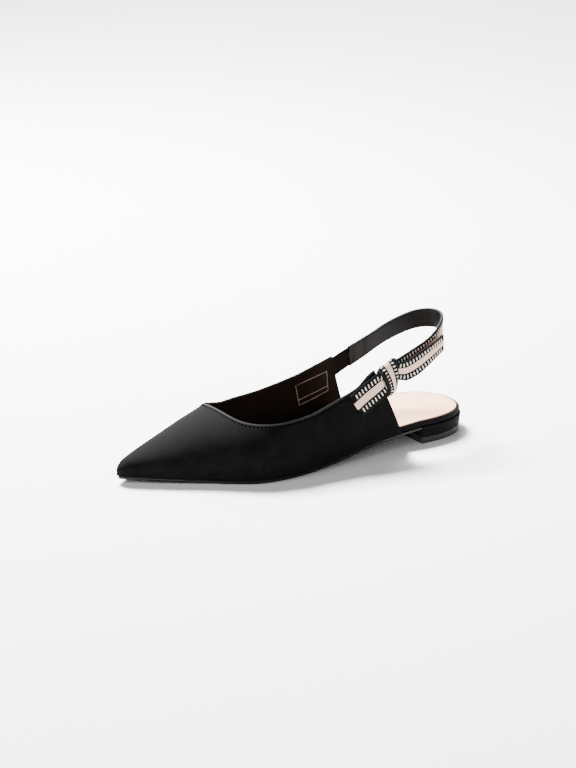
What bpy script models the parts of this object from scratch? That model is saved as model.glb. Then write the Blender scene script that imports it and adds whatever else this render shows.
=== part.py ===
"""A women's pointed slingback flat, left shoe, as separate solids built from its last.

Sizes are in millimetres and MM turns them into metres. A station s is the distance forward
from the back of the heel. The lateral side, which carries the bow, is -Y, the medial side is
+Y, the toe points to -X and the floor is at Z = 0. The origin lies on the floor, at the middle
of the top lift. Neighbouring pieces keep the clearance GAP.
"""

import math
from collections import namedtuple

import bmesh
import bpy
from mathutils import Vector

MM = 0.001
GAP = 0.3

# Lengths along the shoe.
HEEL_CENTRE = 24.3
TOE_TIP = 263.0
THROAT = 192.6
HEEL_BREAST = 48.6

# Thicknesses of the layers, from the floor up.
LIFT_HEIGHT = 4.4
OUTSOLE_THICKNESS = 2.2
UPPER_WALL = 1.4
BOARD_THICKNESS = 1.0
SOCK_THICKNESS = 0.8

# The heel seat and what stands under it.
HEEL_HALF_WIDTH = 29.8
SEAT_HALF_WIDTH = 28.7
HEEL_ROUNDING = 42.0
HEEL_FULLNESS = 2.3
SEAT_BACK = 0.9
BLOCK_TAPER = 0.5
LIFT_INSET = 0.8

# How far each plan outline lies inside the edge of the upper.
OUTSOLE_INSET = 0.9
BOARD_INSET = UPPER_WALL + GAP + 0.5
SOCK_INSET = 2.1
LASTING_MARGIN = 7.0
STEP_LENGTH = 0.5

# The rounded front end of the insole board and the sock.
SEAT_STATIONS = 20
NOSE_HALF_WIDTH = 3.4
NOSE_LENGTH = 0.9
NOSE_POINTS = 4

# Counts of rows and stations that shape the upper.
FEATHER_TURNS = (-90.0, -62.0, -34.0, 0.0)
ROWS_ABOVE = 7
TOE_STATIONS = 16
QUARTER_STATIONS = 15
QUARTER_SPACING = 1.6

# Straps, elastic and ribbon, whose thickness faces a plan point inside the collar.
STRAP_THICKNESS = 1.8
ELASTIC_THICKNESS = 1.2
RIBBON_THICKNESS = 1.2
INSIDE_COLLAR = Vector((62.0, 0.0, 0.0))

# The last, from the toe to the quarters: feather edges in plan, how far the wall bulges out
# past them, how high above them it is widest, the top line of the section and its fullness.
Section = namedtuple(
    "Section", "s lateral medial lateral_bulge medial_bulge belly ridge_y ridge_z fullness"
)
LAST = (
    Section(263.0, 14.4, 14.4, 0.0, 0.0, 3.0, 14.4, 9.5, 2.2),
    Section(261.0, 11.2, 17.3, 0.3, 0.3, 4.0, 14.4, 12.5, 2.1),
    Section(257.0, 8.3, 20.0, 0.6, 0.5, 5.0, 14.2, 15.6, 2.0),
    Section(250.0, 4.0, 23.4, 0.9, 0.8, 6.0, 13.8, 18.3, 1.95),
    Section(240.0, -2.2, 27.4, 1.2, 1.1, 7.0, 12.8, 22.1, 1.9),
    Section(228.0, -9.2, 31.4, 1.5, 1.4, 8.0, 11.4, 26.9, 1.9),
    Section(215.0, -16.4, 35.2, 1.8, 1.7, 9.0, 9.8, 32.2, 1.95),
    Section(204.0, -23.6, 37.9, 2.0, 1.9, 10.0, 8.4, 36.5, 2.0),
    Section(194.0, -29.8, 39.8, 2.2, 2.0, 10.5, 7.2, 40.3, 2.05),
    Section(184.0, -34.4, 40.9, 2.3, 2.1, 11.0, 6.4, 45.3, 2.1),
    Section(174.0, -36.2, 40.8, 2.3, 2.2, 11.0, 5.6, 50.4, 2.1),
    Section(163.0, -36.9, 39.4, 2.2, 2.4, 11.0, 5.0, 55.5, 2.1),
    Section(146.0, -35.8, 35.6, 2.0, 2.8, 10.5, 4.0, 62.0, 2.1),
    Section(128.0, -34.0, 31.2, 1.8, 2.9, 10.0, 3.0, 69.0, 2.15),
    Section(110.0, -32.3, 28.0, 1.5, 2.6, 9.5, 2.0, 76.0, 2.2),
    Section(93.0, -30.4, 26.7, 1.1, 1.9, 9.0, 1.0, 84.0, 2.25),
    Section(80.0, -29.8, 26.9, 0.9, 1.3, 8.5, 0.5, 88.0, 2.3),
    Section(64.0, -29.9, 28.3, 0.7, 0.8, 8.0, 0.0, 92.0, 2.3),
    Section(HEEL_BREAST, -30.0, 29.7, 0.6, 0.6, 8.0, 0.0, 94.0, 2.3),
)

# Underside of the outsole: toe spring, the flat tread and the rise of the arch.
Under = namedtuple("Under", "s z")
UNDERSIDE = (
    Under(HEEL_BREAST, 10.5),
    Under(58.0, 9.8),
    Under(70.0, 8.6),
    Under(85.0, 6.9),
    Under(100.0, 4.9),
    Under(115.0, 2.9),
    Under(130.0, 1.2),
    Under(150.0, 0.0),
    Under(186.0, 0.0),
    Under(215.0, 0.6),
    Under(232.0, 1.7),
    Under(TOE_TIP, 3.3),
)

# Top edge of the upper: the turn of the section that it cuts, 90 at the middle of the throat.
Topline = namedtuple("Topline", "s lateral medial")
TOPLINE = (
    Topline(THROAT, 90.0, 90.0),
    Topline(191.8, 74.0, 71.6),
    Topline(189.7, 61.6, 59.1),
    Topline(185.0, 50.9, 44.5),
    Topline(177.8, 42.8, 33.1),
    Topline(166.4, 36.2, 26.1),
    Topline(152.1, 32.9, 26.4),
    Topline(136.0, 31.5, 27.1),
    Topline(120.0, 31.6, 27.9),
    Topline(106.0, 31.3, 28.9),
    Topline(90.0, 35.3, 29.6),
    Topline(80.0, 35.1, 31.0),
)

# Rear edge of each quarter: its station at the feather edge, and its top corner.
Quarter = namedtuple("Quarter", "foot corner corner_z")
LATERAL_QUARTER = Quarter(67.0, 89.5, 58.5)
MEDIAL_QUARTER = Quarter(73.5, 88.2, 55.0)

# The outer face of each band at its two edges. The back strap runs from the rear edge of the
# lateral quarter round the heel, and the elastic joins it to the medial quarter.
Band = namedtuple("Band", "top_s top_y top_z bottom_s bottom_y bottom_z")
STRAP = (
    Band(88.2, -27.1, 56.6, 81.5, -28.3, 43.0),
    Band(84.0, -26.5, 58.2, 79.4, -26.7, 44.4),
    Band(78.0, -25.7, 60.3, 76.0, -25.8, 46.2),
    Band(70.0, -24.8, 63.0, 69.4, -24.9, 49.2),
    Band(62.0, -24.2, 65.6, 62.0, -24.3, 52.2),
    Band(54.0, -23.6, 68.3, 54.0, -23.6, 55.2),
    Band(46.2, -22.8, 70.8, 46.2, -22.8, 58.2),
    Band(38.5, -21.2, 73.6, 38.5, -21.2, 61.2),
    Band(31.8, -18.8, 76.5, 31.8, -18.8, 64.2),
    Band(25.7, -15.4, 79.4, 25.7, -15.4, 67.0),
    Band(20.5, -10.8, 81.8, 20.5, -10.8, 69.0),
    Band(17.2, -5.6, 83.0, 17.2, -5.6, 70.0),
    Band(16.1, 0.0, 83.5, 16.1, 0.0, 70.4),
    Band(17.2, 5.6, 83.3, 17.2, 5.6, 70.0),
    Band(20.5, 10.8, 82.4, 20.5, 10.8, 69.0),
    Band(25.7, 15.8, 80.6, 25.7, 15.8, 67.0),
    Band(31.8, 19.2, 77.9, 31.8, 19.2, 64.4),
    Band(38.5, 21.6, 74.9, 38.5, 21.6, 61.4),
    Band(46.2, 23.0, 71.6, 46.2, 23.0, 58.2),
    Band(54.0, 23.6, 67.8, 54.0, 23.6, 54.4),
    Band(61.0, 24.0, 64.8, 61.0, 24.0, 50.8),
    Band(68.0, 24.3, 62.0, 67.6, 24.4, 47.6),
    Band(75.0, 24.6, 59.4, 73.0, 25.0, 45.0),
)
ELASTIC = (
    Band(75.5, 24.4, 58.6, 73.5, 24.8, 45.4),
    Band(81.0, 25.0, 56.2, 78.0, 25.8, 42.6),
    Band(86.9, 25.8, 53.2, 82.1, 27.1, 39.8),
)

# Each tail of the bow, from the knot to its cut end. The front one then lies on the quarter.
FRONT_TAIL_START = (
    Band(79.0, -27.4, 58.6, 78.0, -27.6, 46.4),
    Band(83.4, -28.2, 56.8, 79.4, -28.7, 45.8),
    Band(85.4, -28.9, 56.6, 81.0, -30.2, 44.8),
)
Laid = namedtuple("Laid", "top_s top_z bottom_s bottom_z stand_off")
FRONT_TAIL_ON_QUARTER = (
    Laid(88.6, 57.4, 83.6, 42.4, 0.7),
    Laid(95.0, 55.4, 87.4, 39.8, 0.9),
    Laid(103.6, 51.7, 94.8, 36.4, 0.9),
    Laid(113.6, 46.9, 104.2, 31.9, 0.9),
)
BACK_TAIL = (
    Band(78.2, -27.3, 59.2, 77.2, -27.5, 46.8),
    Band(71.0, -26.6, 61.6, 70.2, -26.8, 49.2),
    Band(66.0, -27.0, 61.8, 63.4, -27.7, 48.3),
    Band(60.5, -27.2, 63.4, 58.0, -28.0, 49.4),
    Band(52.6, -27.0, 66.3, 51.6, -27.8, 51.8),
    Band(43.6, -26.0, 69.3, 43.6, -27.0, 56.0),
    Band(35.0, -23.4, 71.4, 35.0, -24.4, 59.2),
    Band(26.6, -19.8, 72.6, 26.6, -20.6, 61.4),
)

# The wrap of the knot across its width, from the heel side forward: how far it reaches to the
# lateral side and to the foot, its half height, and its hole's reach to the lateral side.
Wrap = namedtuple("Wrap", "across lateral foot half_height hole")
KNOT = (
    Wrap(-1.0, 3.8, 3.2, 10.2, 2.4),
    Wrap(-0.8, 4.6, 3.7, 11.3, 2.3),
    Wrap(-0.4, 5.2, 4.1, 11.8, 2.3),
    Wrap(0.0, 5.4, 4.2, 11.8, 2.4),
    Wrap(0.4, 5.5, 4.1, 11.7, 2.6),
    Wrap(0.8, 5.5, 3.7, 11.0, 3.2),
    Wrap(1.0, 5.3, 3.2, 10.0, 4.0),
)
KNOT_CENTRE = Vector((77.2, -25.4, 51.2))
KNOT_TOP_WIDTH = 16.4
KNOT_FOOT_WIDTH = 9.0
KNOT_LEAN = 4.6
KNOT_HOLE_DEPTH = 2.1
KNOT_HOLE_HEIGHT = 7.4
KNOT_HOLE_RISE = 1.9
KNOT_SEGMENTS = 28
STRAP_SLOPE = 0.37
STRAP_SPLAY = 0.13


def station(s, y, z):
    """The world point at station s, sideways place y and height z, all in millimetres."""
    return Vector(((HEEL_CENTRE - s) * MM, y * MM, z * MM))


def toe_scale(s):
    """The root of the distance from the tip, in which a rounded toe is a straight run."""
    return math.sqrt(max(TOE_TIP - s, 0.0))


def throat_scale(s):
    """The root of the distance behind the throat, in which its round front is straight."""
    return math.sqrt(max(THROAT - s, 0.0))


def monotone(xs, ys, x):
    """A monotone cubic through the points, which never swings past its rows."""
    if x <= xs[0]:
        return ys[0]
    if x >= xs[-1]:
        return ys[-1]
    widths = [b - a for a, b in zip(xs, xs[1:])]
    slopes = [(b - a) / w for a, b, w in zip(ys, ys[1:], widths)]
    tangents = [slopes[0]]
    for k in range(1, len(slopes)):
        before, after = slopes[k - 1], slopes[k]
        if before * after <= 0.0:
            tangents.append(0.0)
        else:
            near = widths[k] * 2 + widths[k - 1]
            far = widths[k] + widths[k - 1] * 2
            tangents.append((near + far) / (near / before + far / after))
    tangents.append(slopes[-1])
    k = max(i for i in range(len(widths)) if xs[i] <= x)
    t = (x - xs[k]) / widths[k]
    rise = ys[k] * (1 + 2 * t) * (1 - t) ** 2 + ys[k + 1] * t * t * (3 - 2 * t)
    lean = tangents[k] * t * (1 - t) ** 2 - tangents[k + 1] * t * t * (1 - t)
    return rise + lean * widths[k]


def read(table, column, s, scale=lambda value: value):
    """One column of a table of stations, read at station s."""
    rows = sorted(table, key=lambda row: scale(row.s))
    xs = [scale(row.s) for row in rows]
    return monotone(xs, [getattr(row, column) for row in rows], scale(s))


def underside(s):
    """Height of the outsole's underside."""
    return read(UNDERSIDE, "z", s)


def last_section(s):
    """The row of the last at any station."""
    return Section(s, *[read(LAST, name, s, toe_scale) for name in Section._fields[1:]])


def feather_height(s):
    """Height of the upper's lower edge, which rests on the outsole."""
    return underside(s) + OUTSOLE_THICKNESS + GAP


def upper_point(s, side, turn):
    """A point of the upper's outer face. The turn runs from -90 at the feather edge over 0,
    where the wall is widest, to 90 on the ridge. The side is -1 lateral or 1 medial."""
    row = last_section(s)
    edge = row.lateral if side < 0 else row.medial
    bulge = row.lateral_bulge if side < 0 else row.medial_bulge
    widest = edge + side * bulge
    height = feather_height(s) + row.belly
    angle = math.radians(turn)
    if turn <= 0.0:
        y = widest - side * bulge * (1.0 - math.cos(angle))
        return station(s, y, height + row.belly * math.sin(angle))
    across = max(math.cos(angle), 0.0) ** (2.0 / row.fullness)
    rise = math.sin(angle) ** (2.0 / row.fullness)
    y = row.ridge_y + (widest - row.ridge_y) * across
    return station(s, y, height + (row.ridge_z - height) * rise)


def wall_y(s, z):
    """Sideways place of the lateral wall's outer face at station s and height z."""
    row = last_section(s)
    height = feather_height(s) + row.belly
    widest = row.lateral - row.lateral_bulge
    rise = min(max((z - height) / (row.ridge_z - height), 0.0), 1.0)
    across = (1.0 - rise ** row.fullness) ** (1.0 / row.fullness)
    return row.ridge_y + (widest - row.ridge_y) * across


def mesh_object(name, material, vertices, faces, smooth_angle=None):
    """A node from vertices in metres and faces, with its faces turned outwards."""
    mesh = bpy.data.meshes.new(name)
    mesh.from_pydata([tuple(point) for point in vertices], [], faces)
    shape = bmesh.new()
    shape.from_mesh(mesh)
    bmesh.ops.recalc_face_normals(shape, faces=shape.faces)
    shape.to_mesh(mesh)
    shape.free()
    mesh.materials.append(material)
    if smooth_angle is not None:
        mesh.shade_smooth()
        mesh.set_sharp_from_angle(angle=math.radians(smooth_angle))
    node = bpy.data.objects.new(name, mesh)
    bpy.context.scene.collection.objects.link(node)
    return node


def finish(name, colour, roughness, metallic=0.0):
    """A plain Principled material."""
    material = bpy.data.materials.new(name)
    material.use_nodes = True
    shader = material.node_tree.nodes["Principled BSDF"]
    shader.inputs["Base Color"].default_value = (*colour, 1.0)
    shader.inputs["Roughness"].default_value = roughness
    shader.inputs["Metallic"].default_value = metallic
    return material


def offset(outline, inset):
    """A plan outline of (s, y) moved inwards, for an outline that runs lateral side first,
    then the toe, then the medial side, and is open at a straight back."""
    last = len(outline) - 1
    moved = []
    for k, (s, y) in enumerate(outline):
        before, after = outline[max(k - 1, 0)], outline[min(k + 1, last)]
        along = Vector((after[0] - before[0], after[1] - before[1])).normalized()
        moved.append((s - along.y * inset, y + along.x * inset))
    return moved


def stack(name, material, rings, point_back, smooth_angle=35.0):
    """A solid between plan rings laid one over another. Each ring is a list of (s, y, z) that
    runs forward on the lateral side, round the toe and back on the medial side. point_back
    says whether the first point is the middle of the back or a corner of a straight back."""
    count = len(rings[0])
    vertices = [station(*point) for ring in rings for point in ring]
    faces = []
    for low in range(0, (len(rings) - 1) * count, count):
        for k in range(count):
            after = (k + 1) % count
            faces.append((low + k, low + after, low + count + after, low + count + k))
    for base in (0, (len(rings) - 1) * count):
        left = list(range(1, count // 2)) if point_back else list(range(count // 2))
        right = [count - k for k in left] if point_back else [count - 1 - k for k in left]
        if point_back:
            faces.append((base, base + left[0], base + right[0]))
        for k in range(len(left) - 1):
            faces.append((base + left[k], base + left[k + 1], base + right[k + 1], base + right[k]))
        faces.append((base + left[-1], base + count // 2, base + right[-1]))
    return mesh_object(name, material, vertices, faces, smooth_angle)


def toe_stations(start, count):
    """Stations from start to the tip, closer together where the toe rounds off."""
    reach = toe_scale(start)
    return [TOE_TIP - (reach * (1.0 - k / count)) ** 2 for k in range(count)]


def feather_outline(lateral_start, medial_start, count):
    """The feather edge in plan, without the rounded heel."""
    lateral = [(s, last_section(s).lateral) for s in toe_stations(lateral_start, count)]
    medial = [(s, last_section(s).medial) for s in toe_stations(medial_start, count)]
    tip = (TOE_TIP, last_section(TOE_TIP).ridge_y)
    return lateral + [tip] + medial[::-1]


def heel_arc(half_width, back, rounding, count):
    """The rounded back of the heel, as (s, y) from its middle to its side."""
    arc = []
    for k in range(count):
        angle = 0.5 * math.pi * k / count
        s = back + rounding * (1.0 - math.cos(angle) ** (2.0 / HEEL_FULLNESS))
        arc.append((s, half_width * math.sin(angle) ** (2.0 / HEEL_FULLNESS)))
    return arc


def heel_ring(inset, height):
    """The plan of the heel at one height, from the breast round the back."""
    half = HEEL_HALF_WIDTH - inset
    arc = heel_arc(half, inset, HEEL_ROUNDING - inset, 14)
    front = (HEEL_BREAST - inset * 0.5, half)
    side = [(s, -y, height) for s, y in arc[:0:-1]]
    other = [(s, y, height) for s, y in arc[1:]]
    ring = [(front[0], -front[1], height)] + side + [(inset, 0.0, height)] + other
    return ring + [(front[0], front[1], height)]


def build_heel(block_finish, lift_finish):
    """The covered block and the top lift under it."""
    seat = underside(HEEL_BREAST) + OUTSOLE_THICKNESS
    stack("top_lift", lift_finish, [
        heel_ring(LIFT_INSET + 0.2, 0.0),
        heel_ring(LIFT_INSET, 0.5),
        heel_ring(LIFT_INSET, LIFT_HEIGHT),
    ], point_back=False)
    stack("heel_block", block_finish, [
        heel_ring(BLOCK_TAPER, LIFT_HEIGHT + GAP),
        heel_ring(0.1, seat - 0.9),
        heel_ring(0.4, seat - 0.2),
        heel_ring(0.9, seat),
    ], point_back=False)


def build_outsole(material):
    """The thin unit sole from the heel breast to the toe."""
    outline = feather_outline(HEEL_BREAST + GAP, HEEL_BREAST + GAP, 34)
    rings = []
    for inset, rise in ((0.8, 0.0), (0.0, 0.6), (0.0, 1.7), (0.5, OUTSOLE_THICKNESS)):
        plan = offset(outline, OUTSOLE_INSET + inset)
        rings.append([(s, y, underside(s) + rise) for s, y in plan])
    stack("outsole", material, rings, point_back=False)


def seat_side(inset, side):
    """One side of the board's plan, from the middle of the back to just before the tip."""
    quarter = LATERAL_QUARTER if side < 0 else MEDIAL_QUARTER
    half = SEAT_HALF_WIDTH - inset
    points = heel_arc(half, SEAT_BACK + inset, HEEL_ROUNDING - inset, 14)
    points += [(50.0, half), (57.0, half - 0.2), (quarter.foot - 2.0, half - 0.6)]
    nose = nose_start(inset)
    reach = nose - quarter.foot
    for k in range(SEAT_STATIONS):
        s = nose - reach * (1.0 - k / (SEAT_STATIONS - 1)) ** 1.5 - STEP_LENGTH * (k == 0)
        points.append((s, side * inner_edge(s, side, inset)))
    middle, width = nose_middle(nose, inset)
    for k in range(1, NOSE_POINTS):
        angle = 0.5 * math.pi * k / NOSE_POINTS
        across = side * middle + width * math.cos(angle)
        points.append((nose + width * NOSE_LENGTH * math.sin(angle), across))
    return [(s, side * y) for s, y in points]


def inner_edge(s, side, inset):
    """The feather edge at station s, moved in under the board's edge and by the inset."""
    column = "lateral" if side < 0 else "medial"
    slope = (read(LAST, column, s + 0.5, toe_scale) - read(LAST, column, s - 0.5, toe_scale))
    return read(LAST, column, s, toe_scale) - side * (BOARD_INSET + inset) * math.hypot(1.0, slope)


def nose_middle(s, inset):
    """The middle of the board's plan at station s and half its width there."""
    lateral, medial = inner_edge(s, -1, inset), inner_edge(s, 1, inset)
    return 0.5 * (lateral + medial), 0.5 * (medial - lateral)


def nose_start(inset):
    """The station where the two sides of the board are close enough to round off."""
    s = 240.0
    while nose_middle(s + 0.25, inset)[1] > NOSE_HALF_WIDTH:
        s += 0.25
    return s


def seat_outline(inset):
    """The plan of the insole board: inside the upper in front, the heel seat behind."""
    nose = nose_start(inset)
    middle, width = nose_middle(nose, inset)
    tip = (nose + width * NOSE_LENGTH, middle)
    return seat_side(inset, -1) + [tip] + seat_side(inset, 1)[:0:-1]


def board_bottom(s, y):
    """Underside of the board: on the outsole behind the quarters, over the margin before."""
    foot = LATERAL_QUARTER.foot if y < 0.0 else MEDIAL_QUARTER.foot
    step = UPPER_WALL + GAP if s > foot - 1.2 else 0.0
    return underside(s) + OUTSOLE_THICKNESS + GAP + step


def board_top(s):
    """Top of the board, under the sock."""
    return underside(s) + OUTSOLE_THICKNESS + UPPER_WALL + BOARD_THICKNESS + GAP * 2.0


def build_insole(board_finish, sock_finish):
    """The covered insole board, whose rim shows round the heel, and the sock on it."""
    rim = seat_outline(0.0)
    sock = seat_outline(SOCK_INSET)
    sock_top = board_top(HEEL_BREAST) - underside(HEEL_BREAST) + GAP + SOCK_THICKNESS
    stack("insole_board", board_finish, [
        [(s, y, board_bottom(s, y)) for s, y in seat_outline(0.5)],
        [(s, y, board_bottom(s, y) + 0.4) for s, y in rim],
        [(s, y, max(board_top(s) - 1.2, board_bottom(s, y) + 0.6)) for s, y in rim],
        [(s, y, board_top(s) - 0.3) for s, y in seat_outline(0.6)],
        [(s, y, board_top(s)) for s, y in seat_outline(1.6)],
    ], point_back=True)
    stack("insole_sock", sock_finish, [
        [(s, y, board_top(s) + GAP) for s, y in sock],
        [(s, y, underside(s) + sock_top - 0.3) for s, y in sock],
        [(s, y, underside(s) + sock_top) for s, y in seat_outline(SOCK_INSET + 0.4)],
    ], point_back=True)


def upper_turns(top):
    """The turns of the rows between the feather edge and a top edge."""
    above = [top * (k + 1) / ROWS_ABOVE for k in range(ROWS_ABOVE)]
    return list(FEATHER_TURNS) + above


def quarter_column(share, side):
    """One column of a quarter, 0 at the throat and 1 at its rear edge, which leans."""
    quarter = LATERAL_QUARTER if side < 0 else MEDIAL_QUARTER
    back = share ** QUARTER_SPACING
    foot = THROAT + (quarter.foot - THROAT) * back
    head = THROAT + (quarter.corner - THROAT) * back
    top = read(TOPLINE, "lateral" if side < 0 else "medial", head, throat_scale)
    low, high = feather_height(quarter.foot), quarter.corner_z
    column = []
    for turn in upper_turns(top):
        s = foot
        for _ in range(4):
            height = upper_point(s, side, turn).z / MM
            s = foot + (head - foot) * min(max((height - low) / (high - low), 0.0), 1.0)
        if turn == top:
            s = head
        column.append(upper_point(s, side, turn))
    return column


def margin_row(s, side):
    """A point of the lasting margin, turned in under the board from the feather edge."""
    row = last_section(s)
    edge = row.lateral if side < 0 else row.medial
    reach = min(LASTING_MARGIN, 0.45 * abs(edge - row.ridge_y))
    return station(s, edge - side * reach, feather_height(s))


def build_upper(material):
    """The one-piece upper: a sheet over the last, open at the throat, collar and back and
    underneath, given its wall inwards by Solidify."""
    vertices, faces, halves = [], [], []
    toe = [TOE_TIP - (toe_scale(THROAT) * (1.0 - k / TOE_STATIONS)) ** 2
           for k in range(TOE_STATIONS + 1)]
    for side in (-1, 1):
        columns = []
        for k in range(QUARTER_STATIONS, 0, -1):
            column = quarter_column(k / QUARTER_STATIONS, side)
            foot = HEEL_CENTRE - column[0].x / MM
            columns.append([margin_row(foot, side)] + column)
        for s in toe:
            column = [upper_point(s, side, turn) for turn in upper_turns(90.0)]
            columns.append([margin_row(s, side)] + column)
        halves.append(columns)
    for side, columns in zip((-1, 1), halves):
        start = len(vertices)
        rows = len(columns[0])
        vertices += [point for column in columns for point in column]
        for c in range(len(columns) - 1):
            for r in range(rows - 1):
                a = start + c * rows + r
                quad = (a, a + rows, a + rows + 1, a + 1)
                faces.append(quad if side > 0 else quad[::-1])
    node = mesh_object("upper", material, vertices, faces)
    shape = bmesh.new()
    shape.from_mesh(node.data)
    bmesh.ops.remove_doubles(shape, verts=shape.verts, dist=0.00002)
    bmesh.ops.recalc_face_normals(shape, faces=shape.faces)
    front = min(shape.faces, key=lambda face: face.calc_center_median().x)
    if front.normal.x > 0.0:
        bmesh.ops.reverse_faces(shape, faces=shape.faces)
    shape.to_mesh(node.data)
    shape.free()
    node.data.shade_smooth()
    node.data.set_sharp_from_angle(angle=math.radians(50.0))
    wall = node.modifiers.new("wall", "SOLIDIFY")
    wall.thickness = UPPER_WALL * MM
    wall.offset = -1.0
    wall.use_even_offset = True


def band_solid(name, material, outer_top, outer_bottom, thickness, inward):
    """A flat band along two edges, given its thickness towards inward(k), a plan direction."""
    vertices, faces = [], []
    for k, (top, bottom) in enumerate(zip(outer_top, outer_bottom)):
        shift = inward(k) * thickness
        lip = (top - bottom).normalized() * 0.3
        vertices += [top - lip, bottom + lip, bottom + shift * 0.5,
                     bottom + lip + shift, top - lip + shift, top + shift * 0.5]
    for k in range(len(outer_top) - 1):
        a, b = k * 6, k * 6 + 6
        for j in range(6):
            faces.append((a + j, a + (j + 1) % 6, b + (j + 1) % 6, b + j))
    faces.append(tuple(range(6)))
    faces.append(tuple(range((len(outer_top) - 1) * 6, len(outer_top) * 6))[::-1])
    vertices = [station(*point) for point in vertices]
    return mesh_object(name, material, vertices, faces, smooth_angle=40.0)


def across(points, k, towards):
    """The plan direction across a path at point k, on the side of the point towards."""
    before, after = points[max(k - 1, 0)], points[min(k + 1, len(points) - 1)]
    along = Vector((after.x - before.x, after.y - before.y, 0.0)).normalized()
    normal = Vector((-along.y, along.x, 0.0))
    side = Vector((towards.x - points[k].x, towards.y - points[k].y, 0.0))
    return normal if normal.dot(side) > 0.0 else -normal


def front_tail():
    """The rows of the front tail, which leaves the knot and lies on the lateral quarter."""
    laid = []
    for row in FRONT_TAIL_ON_QUARTER:
        away = GAP + RIBBON_THICKNESS + row.stand_off
        laid.append(Band(row.top_s, wall_y(row.top_s, row.top_z) - away, row.top_z,
                         row.bottom_s, wall_y(row.bottom_s, row.bottom_z) - away, row.bottom_z))
    return list(FRONT_TAIL_START) + laid


def build_band(name, material, table, thickness):
    """A strap or a ribbon tail, whose thickness lies towards the foot."""
    top = [Vector((row.top_s, row.top_y, row.top_z)) for row in table]
    bottom = [Vector((row.bottom_s, row.bottom_y, row.bottom_z)) for row in table]
    band_solid(name, material, top, bottom, thickness, lambda k: across(top, k, INSIDE_COLLAR))


def knot_point(row, angle, lateral, foot, half_height, rise):
    """A point of the knot's ring. It is wider at the top than at the foot, and leans."""
    z = half_height * math.sin(angle)
    share = 0.5 + 0.5 * z / half_height
    width = KNOT_FOOT_WIDTH + (KNOT_TOP_WIDTH - KNOT_FOOT_WIDTH) * share
    forward = row.across * width * 0.5
    s = KNOT_CENTRE.x + KNOT_LEAN * (share - 0.5) + forward
    z += KNOT_CENTRE.z + rise - STRAP_SLOPE * forward
    depth = foot if math.cos(angle) > 0.0 else lateral
    y = KNOT_CENTRE.y - STRAP_SPLAY * forward + depth * math.cos(angle)
    return station(s, y, z)


def build_knot(material):
    """The ribbon loop that holds the bow, wrapped round the strap and both tails."""
    vertices, faces = [], []
    turns = [math.tau * k / KNOT_SEGMENTS for k in range(KNOT_SEGMENTS)]
    for row in KNOT:
        vertices += [knot_point(row, a, row.lateral, row.foot, row.half_height, 0.0) for a in turns]
    for row in KNOT[::-1]:
        for a in turns:
            square = max(abs(math.cos(a)), abs(math.sin(a)))
            hole = (row.hole / square, KNOT_HOLE_DEPTH / square, KNOT_HOLE_HEIGHT / square)
            vertices.append(knot_point(row, a, *hole, KNOT_HOLE_RISE))
    count = len(KNOT) * 2
    for ring in range(count):
        low, high = ring * KNOT_SEGMENTS, (ring + 1) % count * KNOT_SEGMENTS
        for k in range(KNOT_SEGMENTS):
            after = (k + 1) % KNOT_SEGMENTS
            faces.append((low + k, low + after, high + after, high + k))
    mesh_object("bow_knot", material, vertices, faces, smooth_angle=50.0)


def clear_scene():
    """Removes what the scene starts with."""
    for node in list(bpy.data.objects):
        bpy.data.objects.remove(node, do_unlink=True)


def main():
    """Builds each piece in its own finish."""
    clear_scene()
    textile = finish("black_textile", (0.012, 0.012, 0.013), 0.85)
    build_upper(textile)
    build_insole(finish("covered_board", (0.014, 0.014, 0.015), 0.8),
                 finish("nude_sock", (0.86, 0.66, 0.55), 0.5))
    build_heel(finish("covered_heel", (0.016, 0.016, 0.017), 0.75),
               finish("lift_rubber", (0.05, 0.05, 0.052), 0.6))
    build_outsole(finish("sole_rubber", (0.02, 0.02, 0.021), 0.55))
    build_band("back_strap", finish("strap_lining", (0.06, 0.06, 0.062), 0.5), STRAP,
               STRAP_THICKNESS)
    build_band("strap_elastic", finish("elastic", (0.02, 0.016, 0.015), 0.9), ELASTIC,
               ELASTIC_THICKNESS)
    ribbon = finish("striped_ribbon", (0.75, 0.66, 0.58), 0.8)
    build_band("bow_tail_front", ribbon, front_tail(), RIBBON_THICKNESS)
    build_band("bow_tail_back", ribbon, BACK_TAIL, RIBBON_THICKNESS)
    build_knot(ribbon)


main()
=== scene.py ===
"""The looks of a women's pointed slingback flat, left shoe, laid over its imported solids.

Lengths are millimetres until a point is made, and MM turns them into metres. A station s is
the distance forward from the back of the heel. The lateral side, which carries the bow, is -Y,
the medial side is +Y, the toe points to -X and the floor is at Z = 0.
"""

import logging
import math
from bisect import bisect_right
from dataclasses import dataclass, field
from enum import Enum
from typing import Callable, NamedTuple, Optional, Sequence, Union

import bmesh
import bpy
from mathutils import Matrix, Vector
from mathutils.kdtree import KDTree


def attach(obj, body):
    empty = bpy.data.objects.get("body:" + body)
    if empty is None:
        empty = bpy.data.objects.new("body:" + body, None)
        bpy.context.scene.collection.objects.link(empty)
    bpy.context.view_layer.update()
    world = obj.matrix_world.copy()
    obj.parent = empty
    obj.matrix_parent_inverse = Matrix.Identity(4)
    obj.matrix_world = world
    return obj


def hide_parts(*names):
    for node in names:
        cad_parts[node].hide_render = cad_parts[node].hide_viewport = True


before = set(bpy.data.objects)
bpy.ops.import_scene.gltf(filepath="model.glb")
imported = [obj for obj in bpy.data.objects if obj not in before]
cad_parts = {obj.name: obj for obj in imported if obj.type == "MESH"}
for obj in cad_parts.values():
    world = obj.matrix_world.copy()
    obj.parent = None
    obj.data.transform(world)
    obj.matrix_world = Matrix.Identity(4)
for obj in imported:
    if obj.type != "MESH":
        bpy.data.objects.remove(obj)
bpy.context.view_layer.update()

LOG = logging.getLogger("slingback_flat")
MM = 0.001
GAP = 0.3
BODY = "root"
CLOTH_MAP = "cloth"

Triple = tuple[float, float, float]
Colour = Triple
Plan = tuple[float, float]


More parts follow.
